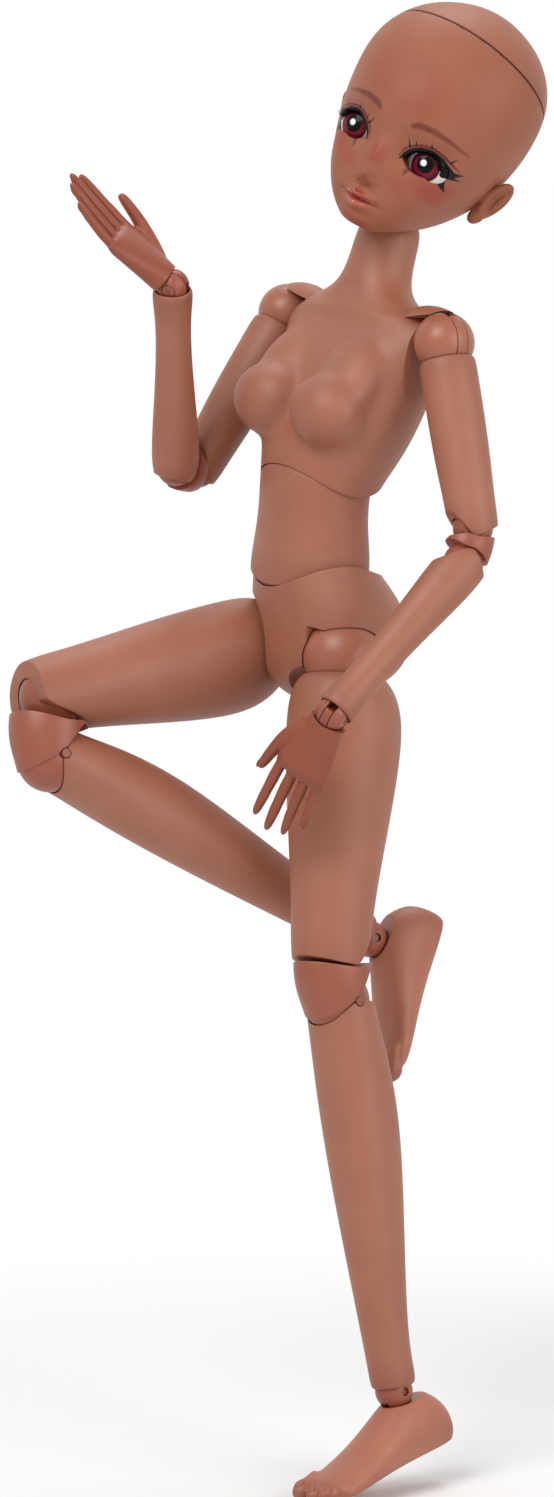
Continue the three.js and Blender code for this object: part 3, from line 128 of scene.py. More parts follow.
def drawn(name, rings, levels):
    """A closed body drawn out ring by ring, each ring a list of as many places."""
    deselect()
    bpy.ops.mesh.primitive_circle_add(vertices=len(rings[0]), radius=1, fill_type="NGON")
    body = bpy.context.object
    body.name = name
    bpy.ops.object.mode_set(mode="EDIT")
    edit = bmesh.from_edit_mesh(body.data)
    order = edit.verts.layers.int.new("order")
    for vertex in edit.verts:
        vertex[order] = vertex.index
    for count, ring in enumerate(rings):
        if count:
            bpy.ops.mesh.extrude_region_move()
            edit = bmesh.from_edit_mesh(body.data)
            order = edit.verts.layers.int["order"]
        for vertex in edit.verts:
            if vertex.select:
                vertex.co = ring[vertex[order]]
        bmesh.update_edit_mesh(body.data)
    bpy.ops.mesh.select_all(action="SELECT")
    bpy.ops.mesh.normals_make_consistent(inside=False)
    bpy.ops.object.mode_set(mode="OBJECT")
    body.data.attributes.remove(body.data.attributes["order"])
    if levels:
        shaped(body, "SUBSURF", levels=levels, render_levels=levels)
    return body


def fullness(sides, levels):
    """How much wider a ring is drawn, so that its rounded form keeps the size asked for."""
    return 6 / (4 + 2 * math.cos(2 * math.pi / sides)) if levels else 1.0


def ringed(name, rings, sides=16, levels=2, grow=0.0):
    """A rounded body through level rings: height, middle, half width, front and back depth."""
    full = fullness(sides, levels)
    places = []
    for high, middle, half, front, back in rings:
        ring = []
        for count in range(sides):
            angle = 2 * math.pi * count / sides
            deep = front if math.sin(angle) < 0 else back
            ring.append((
                (half + grow) * full * math.cos(angle),
                middle + (deep + grow) * full * math.sin(angle),
                high,
            ))
        places.append(ring)
    return drawn(name, places, levels)


def ball(radius, x=0, y=0, z=0, sides=64):
    """A round ball at a place."""
    deselect()
    bpy.ops.mesh.primitive_uv_sphere_add(
        segments=sides, ring_count=sides // 2, radius=radius, location=(x, y, z))
    bpy.ops.object.transform_apply()
    return bpy.context.object


def rod(axis, radius, start, end, x=0, y=0, z=0, sides=32, tip=None):
    """A round bar along an axis. With a tip radius it tapers."""
    deselect()
    bpy.ops.mesh.primitive_cone_add(
        vertices=sides, radius1=radius, radius2=radius if tip is None else tip,
        depth=end - start, location=(0, 0, (start + end) / 2))
    body = bpy.context.object
    bpy.ops.object.transform_apply()
    lay = {"X": Matrix.Rotation(math.pi / 2, 4, "Y"), "Y": Matrix.Rotation(-math.pi / 2, 4, "X"),
           "Z": Matrix.Identity(4)}
    body.data.transform(Matrix.Translation((x, y, z)) @ lay[axis])
    return body


def slab(outline, start, end, axis="X"):
    """A plate across an axis, with an outline of two places: the other level axis and height."""
    deselect()
    bpy.ops.mesh.primitive_circle_add(vertices=len(outline), radius=1, fill_type="NGON")
    body = bpy.context.object
    for vertex, (along, high) in zip(body.data.vertices, outline):
        vertex.co = (start, along, high) if axis == "X" else (along, start, high)
    bpy.ops.object.mode_set(mode="EDIT")
    bpy.ops.mesh.select_all(action="SELECT")
    step = (end - start, 0, 0) if axis == "X" else (0, end - start, 0)
    bpy.ops.mesh.extrude_region_move(TRANSFORM_OT_translate={"value": step})
    bpy.ops.mesh.select_all(action="SELECT")
    bpy.ops.mesh.normals_make_consistent(inside=False)
    bpy.ops.object.mode_set(mode="OBJECT")
    return body


def joined(body, operation, tools):
    """The body after one boolean with each tool, which is used up."""
    for tool in tools:
        shaped(body, "BOOLEAN", operation=operation, object=tool, solver="MANIFOLD")
        bpy.data.meshes.remove(tool.data)
    return body


def cut(body, *tools):
    return joined(body, "DIFFERENCE", tools)


def rounded(body, width=0.35, angle=38):
    """The moulded edge: every sharp edge gets a small round."""
    shaped(body, "WELD", merge_threshold=0.02)
    shaped(body, "BEVEL", width=width, segments=2, limit_method="ANGLE",
           angle_limit=math.radians(angle), use_clamp_overlap=True, harden_normals=False)
    return body


def turned(place, x, y, z, axis, degrees):
    """The place of the next piece: a step from the last one, and a turn about one axis."""
    return place @ Matrix.Translation((x, y, z)) @ Matrix.Rotation(math.radians(degrees), 4, axis)


def put(body, name, place, rides, material, slot, *nodes):
    """The piece keeps its own millimetres as an attribute for its paint, then takes its place."""
    deselect()
    body.name = name
    body.data.name = name
    own = np.empty(len(body.data.vertices) * 3, np.float32)
    body.data.vertices.foreach_get("co", own)
    body.data.attributes.new("own", "FLOAT_VECTOR", "POINT").data.foreach_set("vector", own)
    body.data.transform(Matrix.Scale(0.001, 4) @ place)
    body.data.materials.clear()
    body.data.materials.append(material)
    body.select_set(True)
    bpy.context.view_layer.objects.active = body
    bpy.ops.object.shade_smooth_by_angle(angle=math.radians(40))
    deselect()
    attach(body, rides)
    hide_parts(*nodes)
    return body


class Wire:
    """One value in a material. Sums, products and powers of wires add Math nodes."""

    def __init__(self, tree, socket=None):
        self.tree = tree
        self.socket = socket

    def node(self, kind, settings, values, out=0):
        """A new node: its settings first, then a value or a wire for each socket."""
        made = self.tree.nodes.new(kind)
        for key, value in settings.items():
            setattr(made, key, value)
        for key, value in values.items():
            if isinstance(value, Wire):
                self.tree.links.new(value.socket, made.inputs[key])
            else:
                made.inputs[key].default_value = value
        return Wire(self.tree, made.outputs[out])

    def maths(self, operation, *values):
        return self.node("ShaderNodeMath", {"operation": operation}, dict(enumerate(values)))

    def __add__(self, other):
        return self.maths("ADD", self, other)

    __radd__ = __add__

    def __sub__(self, other):
        return self.maths("SUBTRACT", self, other)

    def __rsub__(self, other):
        return self.maths("SUBTRACT", other, self)

    def __mul__(self, other):
        return self.maths("MULTIPLY", self, other)

    __rmul__ = __mul__

    def __truediv__(self, other):
        return self.maths("DIVIDE", self, other)

    def __rtruediv__(self, other):
        return self.maths("DIVIDE", other, self)

    def __pow__(self, other):
        return self.maths("POWER", self, other)

    def __rpow__(self, other):
        return self.maths("POWER", other, self)

    def __neg__(self):
        return self.maths("MULTIPLY", self, -1.0)

    def __abs__(self):
        return self.maths("ABSOLUTE", self)

    def least(self, other):
        return self.maths("MINIMUM", self, other)

    def most(self, other):
        return self.maths("MAXIMUM", self, other)

    def step(self, start, end):
        """0 before start, 1 after end, with a soft change between."""
        settings = {"interpolation_type": "SMOOTHSTEP"}
        if start > end:
            return 1.0 - self.node("ShaderNodeMapRange", settings, {0: self, 1: end, 2: start})
        return self.node("ShaderNodeMapRange", settings, {0: self, 1: start, 2: end})

    def between(self, low, high):
        """The colour that lies this share of the way from low to high."""
        return self.node("ShaderNodeMix", {"data_type": "RGBA"}, {0: self, 6: low, 7: high}, 2)

    def noise(self, scale, detail=3.0, rough=0.55):
        return self.node("ShaderNodeTexNoise", {},
                         {"Vector": self, "Scale": scale, "Detail": detail, "Roughness": rough})

    def parts(self):
        """The three numbers of a vector wire."""
        made = self.tree.nodes.new("ShaderNodeSeparateXYZ")
        self.tree.links.new(self.socket, made.inputs[0])
        return [Wire(self.tree, socket) for socket in made.outputs]


def paint(name, make, **constants):
    """A material. make gets the piece's own millimetres and returns what varies over it."""
    material = bpy.data.materials.new(name)
    material.use_nodes = True
    tree = material.node_tree
    tree.nodes.clear()
    own = Wire(tree).node("ShaderNodeAttribute", {"attribute_name": "own"}, {}, 1)
    made = make(own)
    height = made.pop("height", None)
    strength = made.pop("strength", 0.15)
    if height is not None:
        made["Normal"] = own.node("ShaderNodeBump", {},
                                  {"Strength": strength, "Distance": 0.0003, "Height": height})
    shader = own.node("ShaderNodeBsdfPrincipled", {}, {**made, **constants})
    end = tree.nodes.new("ShaderNodeOutputMaterial")
    tree.links.new(shader.socket, end.inputs["Surface"])
    material.diffuse_color = shell_brown
    return material


def plastic(own, light, shade, shine):
    """Sprayed plastic: soft clouds in the colour, which are a little less glossy, and a fine grain."""
    cloud = own.noise(0.045, 2.0)
    mist = own.noise(0.9, 2.0)
    grain = own.noise(5.0, 3.0, 0.6)
    tone = (cloud * 0.75 + mist * 0.25).step(0.3, 0.72)
    return {
        "Base Color": (tone * 0.42).between(light, shade),
        "Roughness": shine + cloud * 0.1 + grain * 0.05,
        "height": grain * 0.7 + mist * 0.3,
    }


def pelvis_paint(own):
    made = plastic(own, shell_brown, shell_shade, 0.42)
    # Darker towards the bottom: painted shade where the thighs meet the pelvis.
    low = own.parts()[2].step(4, -20) * 0.55
    made["Base Color"] = low.between(made["Base Color"], shell_shade)
    return made


def hull_of(first, second):
    """The space that a shape sweeps between two places."""
    deselect()
    first.select_set(True)
    second.select_set(True)
    bpy.context.view_layer.objects.active = first
    bpy.ops.object.join()
    bpy.ops.object.mode_set(mode="EDIT")
    bpy.ops.mesh.select_all(action="SELECT")
    bpy.ops.mesh.convex_hull()
    bpy.ops.object.mode_set(mode="OBJECT")
    return first


def drawn_up_thigh(word, side, share):
    """The space of a thigh that is swung up by a share of the right one's way."""
    bend = leg_pose[word]
    highest = leg_pose["right"]["swing"]
    body = ringed("thigh_room", thigh_top_rings, levels=1, grow=leg_room_gap)
    place = turned(Matrix.Identity(4), side * hip_spread, 0, 0, "X", -highest * share)
    place = turned(place, 0, 0, 0, "Y", -side * bend["lift"])
    place = turned(place, 0, 0, 0, "Z", bend["twist"])
    body.data.transform(place)
    return body


pelvis = ringed("pelvis", pelvis_rings, levels=3)
leg_rooms = []
for word, side in both_sides:
    inner = side * leg_room_inner
    leg_rooms.append(slab(leg_room_edge, min(inner, side * far_reach), max(inner, side * far_reach)))
    shares = swing_shares[word]
    for before, after in zip(shares, shares[1:]):
        leg_rooms.append(hull_of(
            drawn_up_thigh(word, side, before), drawn_up_thigh(word, side, after)))
    leg_rooms.append(ball(hip_ball + ball_gap, side * hip_spread))
    axle = sorted((side * axle_inner, side * hip_spread))
    leg_rooms.append(rod("X", leg_stem + pin_gap, *axle))
cut(
    pelvis,
    ball(waist_seam + seam_gap, 0, -core_forward, core_height, sides=96),
    rod("Z", core_stem + pin_gap, core_bore_low, core_height, 0, -core_forward),
    *leg_rooms,
)
rounded(pelvis, shell_round)
pelvis_place = turned(Matrix.Identity(4), 0, 0, pelvis_up, "Y", pelvis_tilt)
pelvis_place = turned(pelvis_place, 0, 0, 0, "X", -pelvis_lean)
put(pelvis, "pelvis_shell", pelvis_place, "pelvis", paint("pelvis_paint", pelvis_paint),
    "shell", "pelvis")


# Waist: a post with a ball, moulded in brown plastic, and a steel pin across the ball. They are
# inside the shells, so the CAD pieces stay and get their finish here.
inner_light = (0.25, 0.105, 0.07, 1)
inner_shade = (0.19, 0.075, 0.048, 1)
steel_dark = (0.5, 0.51, 0.53, 1)
steel_bright = (0.62, 0.63, 0.64, 1)


def inner_paint(own):
    position = own.node("ShaderNodeTexCoord", {}, {}, 3)
    cloud = position.noise(180.0, 2.0)
    grain = position.noise(3000.0, 2.0)
    return {
        "Base Color": cloud.between(inner_light, inner_shade),
        "Roughness": 0.42 + grain * 0.14,
        "height": grain,
    }


def steel_paint(own):
    position = own.node("ShaderNodeTexCoord", {}, {}, 3)
    scratch = position.noise(2400.0, 4.0)
    return {
        "Base Color": scratch.between(steel_dark, steel_bright),
        "Roughness": 0.22 + scratch * 0.16,
        "height": scratch,
        "strength": 0.08,
    }


def repaint(material, *nodes):
    """A material for CAD pieces that stay as they are."""
    for name in nodes:
        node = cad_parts[name]
        node.data.materials.clear()
        node.data.materials.append(material)


inner_plastic = paint("inner_plastic_paint", inner_paint)
pin_steel = paint("pin_steel_paint", steel_paint, Metallic=1.0)
repaint(inner_plastic, "waist_post")
repaint(pin_steel, "waist_pin")
waist_turn = 13.0
waist_place = turned(pelvis_place, 0, -core_forward, core_height, "Z", waist_turn)


# Abdomen: a cast plastic shell with a round underside that turns in the pelvis and a round top
# that turns in the chest. It bends on the pin of the waist post.
abdomen_rings = [
    (-40.0, -2.0, 25.0, 17.4, 18.6),
    (-33.6, -2.0, 26.0, 18.1, 18.9),
    (-27.0, -2.0, 26.9, 18.9, 18.9),
    (-20.0, -2.0, 28.0, 19.5, 18.9),
    (-12.0, -2.0, 27.2, 19.5, 18.5),
    (0.0, -3.0, 24.8, 19.4, 17.2),
    (10.0, -3.6, 25.0, 20.0, 16.8),
    (20.0, -3.6, 25.6, 20.4, 17.2),
    (29.0, -3.0, 26.2, 20.4, 17.6),
    (36.0, -3.0, 26.2, 20.4, 17.6),
]
chest_seam = 28.0
overrun = 3.0
core_room = 13.2
waist_opening = 6.9
chest_opening = 8.2
waist_pin = 1.8
waist_pin_reach = 18.4
waist_bend = 4.8


def block(low, high):
    """A box between two corners."""
    deselect()
    low, high = Vector(low), Vector(high)
    bpy.ops.mesh.primitive_cube_add(size=1, location=(low + high) / 2)
    bpy.context.object.scale = high - low
    bpy.ops.object.transform_apply()
    return bpy.context.object


def abdomen_paint(own):
    made = plastic(own, shell_brown, shell_shade, 0.42)
    # Darker near both seams: painted shade where the abdomen meets the pelvis and the chest.
    rim = abs(own.parts()[2] - 2.0).step(14, 24) * 0.35
    made["Base Color"] = rim.between(made["Base Color"], shell_shade)
    return made


abdomen_rings = [(high, middle + core_forward, *rest) for high, middle, *rest in abdomen_rings]
abdomen = ringed("abdomen", abdomen_rings, levels=3)
far = far_reach
cut(
    abdomen,
    cut(block((-far, -far, -far), (far, far, 0)), ball(waist_seam, sides=96)),
    cut(block((-far, -far, 0), (far, far, far)), ball(chest_seam, sides=96)),
    ball(core_room),
    rod("Z", core_room * 0.95, -waist_seam - overrun, -core_room * 0.6, tip=waist_opening),
    rod("Z", chest_opening, core_room * 0.6, chest_seam + overrun, tip=core_room * 1.15),
    rod("X", waist_pin, -waist_pin_reach, waist_pin_reach),
)
rounded(abdomen, shell_round)
belly_place = turned(waist_place, 0, 0, 0, "X", -waist_bend)
put(abdomen, "abdomen_shell", belly_place, "belly", paint("abdomen_paint", abdomen_paint),
    "shell", "abdomen")
repaint(inner_plastic, "chest_cup")


# Chest: one cast plastic shell with the bust, the shoulders and the neck. A socket on each side
# takes a shoulder ball, and inside a spine ends in the strap that holds the waist's cup.
chest_rings = [
    (-4.0, -2.1, 25.4, 19.5, 18.0),
    (5.0, -2.1, 25.5, 19.5, 18.0),
    (14.0, -2.1, 26.8, 20.4, 19.8),
    (23.9, -1.4, 30.4, 21.6, 24.4),
    (36.0, 0.0, 34.2, 21.8, 27.6),
    (48.0, 2.5, 37.0, 21.2, 26.6),
    (60.0, 4.1, 39.9, 20.1, 25.0),
    (70.0, 4.9, 42.5, 17.6, 20.5),
    (77.0, 4.9, 42.5, 13.9, 16.4),
    (83.0, 4.9, 34.0, 12.3, 14.6),
    (88.1, 4.9, 20.8, 11.9, 13.9),
    (93.0, 5.5, 14.5, 11.9, 13.5),
    (102.0, 6.6, 12.8, 12.1, 12.7),
    (112.0, 7.6, 12.8, 12.1, 12.5),
    (116.4, 7.9, 11.6, 11.0, 11.5),
    (117.6, 8.0, 10.4, 9.8, 10.2),
    (117.8, 8.0, 6.0, 6.0, 6.0),
]
chest_room_rings = [
    (14.0, -2.1, 22.9, 16.5, 15.4),
    (36.0, 0.0, 26.7, 17.1, 17.1),
    (60.0, 4.9, 32.7, 15.5, 17.5),
    (72.8, 4.9, 29.3, 11.8, 13.4),
    (82.2, 4.9, 22.5, 8.9, 10.9),
]
chest_bend = 4.2
chest_tilt = 1.1
bust_eggs = [
    (16.4, 13.4, 14.4, 17.8, -19.4, 41.0, 0),
    (14.8, 10.0, 21.0, 18.8, -12.2, 53.0, -24),
]
chest_pair_presses = [
    ((22, 16, 62), (11, 9, 14), (0, 1.0, 0)),
    ((17, -8, 80), (13, 8, 2.6), (0, -0.9, 0.4)),
]
chest_middle_presses = [
    ((0, 24, 50), (4, 9, 22), (0, -1.4, 0)),
    ((0, -4, 89), (4, 8, 3.4), (0, 1.2, 0)),
]
neck_back = 8.0
neck_bore = 3.7
neck_bore_low = 98.1
neck_top = 125.0
spine_thick = 5.5
spine_low = 27.0
spine_top = 86.0
strap_wide = 13.2
strap_low = -6.0
strap_top = 29.0
strap_reach = 1.2
shoulder_ball = 11.5
shoulder_spread = 48.9
shoulder_height = 74.7
shoulder_back = 5.0
arm_thick = 10.8
arm_stem = 3.2
arm_room = 60.0
arm_room_end = 110.0
arm_axle_inner = 28.4
socket_wall = 2.4
roof_size = (19.5, 8.6, 10.8)
roof_inward = 8.5
roof_up = 2.2
roof_low = 10.2
roof_slope = 11
roof_end = 7.5
roof_tool = 30.0


def chest_paint(own):
    made = plastic(own, shell_brown, shell_shade, 0.42)
    x, y, z = own.parts()
    # Darker near the lower seam, painted shade where the chest meets the abdomen; the front of the
    # bust is darker too.
    rim = z.step(22, 8) * 0.3
    across = abs(x) - 20.0
    up = z - 42.0
    bust = (across * across + up * up).step(260, 20) * 0.22
    made["Base Color"] = (rim + bust * y.step(-10, -22)).between(made["Base Color"], shell_shade)
    return made


def egg(wide, deep, tall, x, y, z, sides=32, turn=(0, 0, 0)):
    """A ball stretched to three half sizes and turned about the three axes."""
    deselect()
    bpy.ops.mesh.primitive_uv_sphere_add(segments=sides, ring_count=sides // 2, radius=1)
    body = bpy.context.object
    body.scale = (wide, deep, tall)
    body.rotation_euler = [math.radians(angle) for angle in turn]
    body.location = (x, y, z)
    bpy.ops.object.transform_apply()
    return body


def add(body, *tools):
    return joined(body, "UNION", tools)


def keep(body, *tools):
    return joined(body, "INTERSECT", tools)


def cast(body, size, smooth=6):
    """One even skin over pieces that were pushed together."""
    shaped(body, "REMESH", mode="VOXEL", voxel_size=size)
    shaped(body, "SMOOTH", factor=0.5, iterations=smooth)
    return body


def swell(body, x, y, z, wide, deep, tall, push):
    """Presses the surface like a thumb: most at one place, and less around it."""
    count = len(body.data.vertices)
    places = np.empty(count * 3, np.float64)
    body.data.vertices.foreach_get("co", places)
    places = places.reshape(-1, 3)
    away = (places - (x, y, z)) / (wide, deep, tall)
    share = np.exp(-(away ** 2).sum(axis=1))
    places += share[:, None] * np.array(push)
    body.data.vertices.foreach_set("co", places.ravel())


def press(body, sides, presses):
    """Thumb presses from a list of places, sizes and pushes, on each of the sides."""
    for side in sides:
        for (across, *place), size, (aside, *push) in presses:
            swell(body, side * across, *place, *size, (side * aside, *push))


def cad_inside(node, place):
    """A copy of a CAD piece in its own millimetres."""
    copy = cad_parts[node].copy()
    copy.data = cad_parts[node].data.copy()
    copy.hide_render = copy.hide_viewport = False
    copy.parent = None
    bpy.context.collection.objects.link(copy)
    for key in list(copy.keys()):
        del copy[key]
    copy.matrix_world = Matrix.Identity(4)
    copy.data.transform((Matrix.Scale(0.001, 4) @ place).inverted())
    bpy.context.view_layer.objects.active = copy
    shaped(copy, "WELD", merge_threshold=0.001)
    return copy


def shoulder_room(side):
    """The socket that a shoulder ball turns in."""
    return ball(shoulder_ball + ball_gap, side * shoulder_spread, shoulder_back, shoulder_height)


def shoulder_roof(side):
    """The edge of the shell that reaches out over a shoulder ball, sloping down outwards."""
    roof = egg(*roof_size, side * (shoulder_spread - roof_inward), shoulder_back,
               shoulder_height + roof_up, sides=48)
    below = block((-roof_tool, -roof_tool, -roof_tool), (roof_tool, roof_tool, 0))
    below.data.transform(turned(
        Matrix.Identity(4), side * shoulder_spread, shoulder_back, shoulder_height + roof_low,
        "Y", -side * roof_slope))
    outer = sorted((side * (shoulder_spread + roof_end), side * arm_room_end))
    beyond = block((outer[0], -roof_tool, 0), (outer[1], roof_tool, neck_top))
    return cut(roof, below, beyond, shoulder_room(side))


chest = ringed("chest", chest_rings, levels=3)
for side in (1, -1):
    for wide, deep, tall, across, back, up, lean in bust_eggs:
        add(chest, egg(wide, deep, tall, side * across, back, up, sides=48, turn=(lean, 0, 0)))
cast(chest, size=1.25, smooth=45)
press(chest, (1, -1), chest_pair_presses)
press(chest, (1,), chest_middle_presses)
chest_place = turned(turned(belly_place, 0, 0, 0, "X", -chest_bend), 0, 0, 0, "Y", chest_tilt)
cut(
    chest,
    ringed("chest_room", chest_room_rings),
    ball(chest_seam + seam_gap, sides=96),
    rod("Z", neck_bore, neck_bore_low, neck_top, 0, neck_back),
)
inside = keep(
    cad_inside("chest", chest_place),
    ball(chest_seam + strap_reach, sides=48),
    rod("Z", strap_wide, strap_low, strap_top, sides=48),
)
shoulder_tools = []
for side in (1, -1):
    plug = ball(shoulder_ball + ball_gap + socket_wall, side * shoulder_spread, shoulder_back,
                shoulder_height)
    add(chest, keep(plug, ringed("shoulder_trim", chest_rings)))
    near = side * (shoulder_spread - arm_thick - seam_gap)
    arm_space = sorted((near, side * arm_room_end))
    axle = sorted((side * arm_axle_inner, side * shoulder_spread))
    shoulder_tools += [
        rod("X", arm_room, *arm_space, 0, shoulder_back, shoulder_height, sides=64),
        shoulder_room(side),
        rod("X", arm_stem + pin_gap, *axle, 0, shoulder_back, shoulder_height),
    ]
cut(chest, *shoulder_tools)
for side in (1, -1):
    add(chest, shoulder_roof(side))
add(chest, inside, rod("Z", spine_thick, spine_low, spine_top))
cut(chest, rod("Z", neck_bore, neck_bore_low, neck_top, 0, neck_back))
rounded(chest, shell_round)
put(chest, "chest_shell", chest_place, "chest", paint("chest_paint", chest_paint), "shell", "chest")


# Neck: a post with a ball on the chest, a steel pin across it and a cup that nods on the pin.
# The head hides them, so the CAD pieces stay.
neck_height = 124.4
neck_turn = 29.4
head_nod = 3.4
head_tilt = 18.4
repaint(inner_plastic, "neck_post", "neck_cup")
repaint(pin_steel, "neck_pin")
neck_place = turned(chest_place, 0, neck_back, neck_height, "Z", neck_turn)
head_place = turned(turned(neck_place, 0, 0, 0, "X", head_nod), 0, 0, 0, "Y", head_tilt)


# Head: a cast plastic shell with open eyes, ears and an open neck. Its crown is a separate cap,
# cut off at a slant, so that the eyes can be set from inside. The face is painted.
skull_forward = 4.9
skull_up = 4.6
skull_place = head_place @ Matrix.Translation((0, -skull_forward, skull_up))
head_rings = [
    (-15.6, -21.8, 5.2, 4.2, 5.9),
    (-14.3, -20.2, 8.9, 8.4, 8.0),
    (-10.4, -13.9, 15.5, 18.5, 18.1),
    (-5.4, -8.0, 21.1, 26.5, 23.9),
    (3.1, -0.8, 27.0, 34.9, 26.9),
    (12.2, 2.1, 31.4, 38.6, 31.9),
    (21.4, 2.9, 34.4, 39.5, 35.7),
    (31.6, 4.2, 36.3, 40.7, 37.4),
    (43.9, 4.2, 37.0, 39.5, 38.2),
    (55.0, 4.6, 35.1, 34.4, 36.1),
    (65.2, 5.5, 28.5, 26.5, 29.0),
    (72.4, 6.3, 18.9, 17.6, 19.3),
    (76.9, 7.1, 5.9, 5.9, 5.9),
]
head_room_rings = [
    (-4.0, -0.8, 19.2, 25.6, 23.0),
    (12.2, 2.1, 28.4, 34.8, 28.9),
    (31.6, 4.2, 33.3, 36.9, 34.4),
    (55.0, 4.6, 32.1, 31.4, 33.1),
    (66.8, 5.5, 22.2, 20.9, 23.0),
    (73.4, 6.3, 8.1, 9.6, 9.6),
]
eye_ball = 9.8
eye_spread = 15.0
eye_forward = 20.6
eye_height = 18.5
neck_room = 16.4
neck_cone = 25.0
bridge_reach = 0.6
cap_tilt = 31.0
cap_lift = 12.5
skull_back = 4.2
skull_height = 41.5
face_skin = (0.318, 0.110, 0.062, 1)
face_shade = (0.240, 0.074, 0.040, 1)
face_box = ((-30, -60, -24), (30, -8, 36))
features_box = ((-27, -60, -13), (27, -14, 28))
forehead_press = ((0, -36, 36), (16, 14, 9), (0, -0.9, 0))
face_pair_presses = [
    ((15.5, -34, 17), (8.5, 12, 7.0), (0, 1.5, 0)),
    ((7.5, -36, 17), (3.4, 10, 5.0), (0.4, 1.3, 0)),
    ((15, -34, 28.5), (10, 10, 3.6), (0, -0.9, 0)),
    ((19, -28, 3.5), (9, 10, 8), (0.8, -1.1, 0)),
    ((8, -34, -8), (3.0, 8, 4.4), (0, 0.8, 0)),
    ((3.4, -38, 3.2), (1.7, 6, 1.7), (0.5, -1.3, 0)),
    ((5.0, -38, 2.6), (1.2, 6, 2.2), (0, 0.6, 0)),
    ((2.5, -34, -3.0), (2.2, 8, 1.0), (0, -0.5, 0.1)),
    ((7.2, -34, -4.6), (1.3, 8, 1.3), (0, 0.9, 0)),
    ((12, -27, -13.5), (7, 9, 4), (0, 0.4, -0.2)),
]
face_middle_presses = [
    ((0, -38, 12.5), (3.0, 9, 6.5), (0, -2.0, 0)),
    ((0, -38, 5.2), (2.9, 9, 3.0), (0, -5.4, 0.4)),
    ((0, -37, 0.2), (2.0, 8, 1.4), (0, 0.5, 0)),
    ((0, -35, -2.9), (5.0, 9, 1.7), (0, -2.3, 0)),
    ((0, -35, -7.0), (4.4, 9, 1.9), (0, -2.7, 0)),
    ((0, -36, -4.9), (6.6, 9, 0.55), (0, 1.5, 0)),
    ((0, -36, -1.6), (0.9, 9, 1.6), (0, 0.6, 0)),
    ((0, -33, -9.6), (6.0, 8, 1.6), (0, 0.8, 0)),
    ((0, -31, -13.0), (6.0, 8, 3.6), (0, -1.6, -0.2)),
    forehead_press,
]
ear_eggs = [
    ((3.0, 5.6, 10.4), (34.4, 6.0, 13.8)),
    ((2.6, 3.2, 4.2), (31.4, 5.6, 6.4)),
    ((2.6, 4.0, 7.8), (37.4, 4.3, 15.0)),
    ((1.2, 1.2, 5.6), (36.4, 7.2, 14.4)),
    ((1.4, 1.5, 2.2), (33.0, 1.6, 10.4)),
]
cap_tool = 120.0
cap_tool_high = 160.0
upper_lid = [(-7.8, -2.2), (-5.6, 1.3), (-2.3, 3.5), (1.5, 4.1), (4.7, 2.6), (6.9, -1.0)]
lower_lid = [(6.9, -1.0), (5.6, -3.4), (3.2, -5.2), (0.0, -5.8), (-3.8, -5.2), (-7.8, -2.2)]
eye_middle = 16.0
eye_level = 19.2


def smooth_line(points, steps=8):
    """More points along a rounded line through the ones given."""
    line = [Vector(point) for point in points]
    line = [line[0] * 2 - line[1], *line, line[-1] * 2 - line[-2]]
    found = []
    for a, b, c, d in zip(line, line[1:], line[2:], line[3:]):
        for step in range(steps):
            t = step / steps
            found.append((b * 2 + (c - a) * t + (a * 2 - b * 5 + c * 4 - d) * t ** 2
                          + (b * 3 - a - c * 3 + d) * t ** 3) / 2)
    return [tuple(point) for point in found] + [tuple(points[-1])]


def finer(body, low, high, smooth=1.0):
    """More faces where the face needs them."""
    deselect()
    bpy.context.view_layer.objects.active = body
    for polygon in body.data.polygons:
        inside = all(a < c < b for a, c, b in zip(low, polygon.center, high))
        polygon.select = inside
    for edge in body.data.edges:
        edge.select = False
    for vertex in body.data.vertices:
        vertex.select = False
    bpy.ops.object.mode_set(mode="EDIT")
    bpy.ops.mesh.select_mode(type="FACE")
    bpy.ops.mesh.subdivide(number_cuts=1, smoothness=smooth)
    bpy.ops.mesh.select_mode(type="VERT")
    bpy.ops.object.mode_set(mode="OBJECT")


def ear(side):
    """Rim, bowl and lobe in one casting. The bowl looks ahead and the top leans out."""
    lean = (-10, side * 23, side * -32)
    rim, lobe, bowl, fold, flap = (
        egg(*size, side * across, back, up, turn=lean) for size, (across, back, up) in ear_eggs)
    add(rim, lobe)
    cut(rim, bowl)
    add(rim, fold, flap)
    return cast(rim, size=0.42, smooth=4)


def lid_opening(side):
    outline = smooth_line(upper_lid, 5)[:-1] + smooth_line(lower_lid, 5)[:-1]
    outline = [(side * (eye_middle + x), eye_level + z) for x, z in outline]
    return slab(outline, -far_reach, -eye_forward, "Y")


def cap_side(lift):
    """Everything above the slanting seam."""
    body = block((-cap_tool, -cap_tool, cap_lift + lift), (cap_tool, cap_tool, cap_tool_high))
    body.data.transform(
        turned(Matrix.Identity(4), 0, skull_back, skull_height, "X", -cap_tilt))
    return body


def spot(x, z, middle, level, wide, tall):
    """A soft round patch: 1 in the middle, 0 outside."""
    across = (x - middle) / wide
    up = (z - level) / tall
    return (across * across + up * up).step(1.0, 0.0)


def stroke(x, z, points, soft=0.12):
    """A brush stroke through points, each with half its width: 1 on the stroke, 0 beside it."""
    nearest = None
    for (ax, az, a_wide), (bx, bz, b_wide) in zip(points, points[1:]):
        along, up = bx - ax, bz - az
        share = ((x - ax) * along + (z - az) * up) / (along * along + up * up)
        share = share.most(0.0).least(1.0)
        off_x = x - ax - share * along
        off_z = z - az - share * up
        away = (off_x * off_x + off_z * off_z) ** 0.5 - (share * (b_wide - a_wide) + a_wide)
        nearest = away if nearest is None else nearest.least(away)
    return nearest.step(soft, -soft)


def above_seam(y, z):
    """Height over the slanting seam of the cap."""
    slant = math.radians(cap_tilt)
    return (y - skull_back) * math.sin(slant) + (z - skull_height) * math.cos(slant) - cap_lift


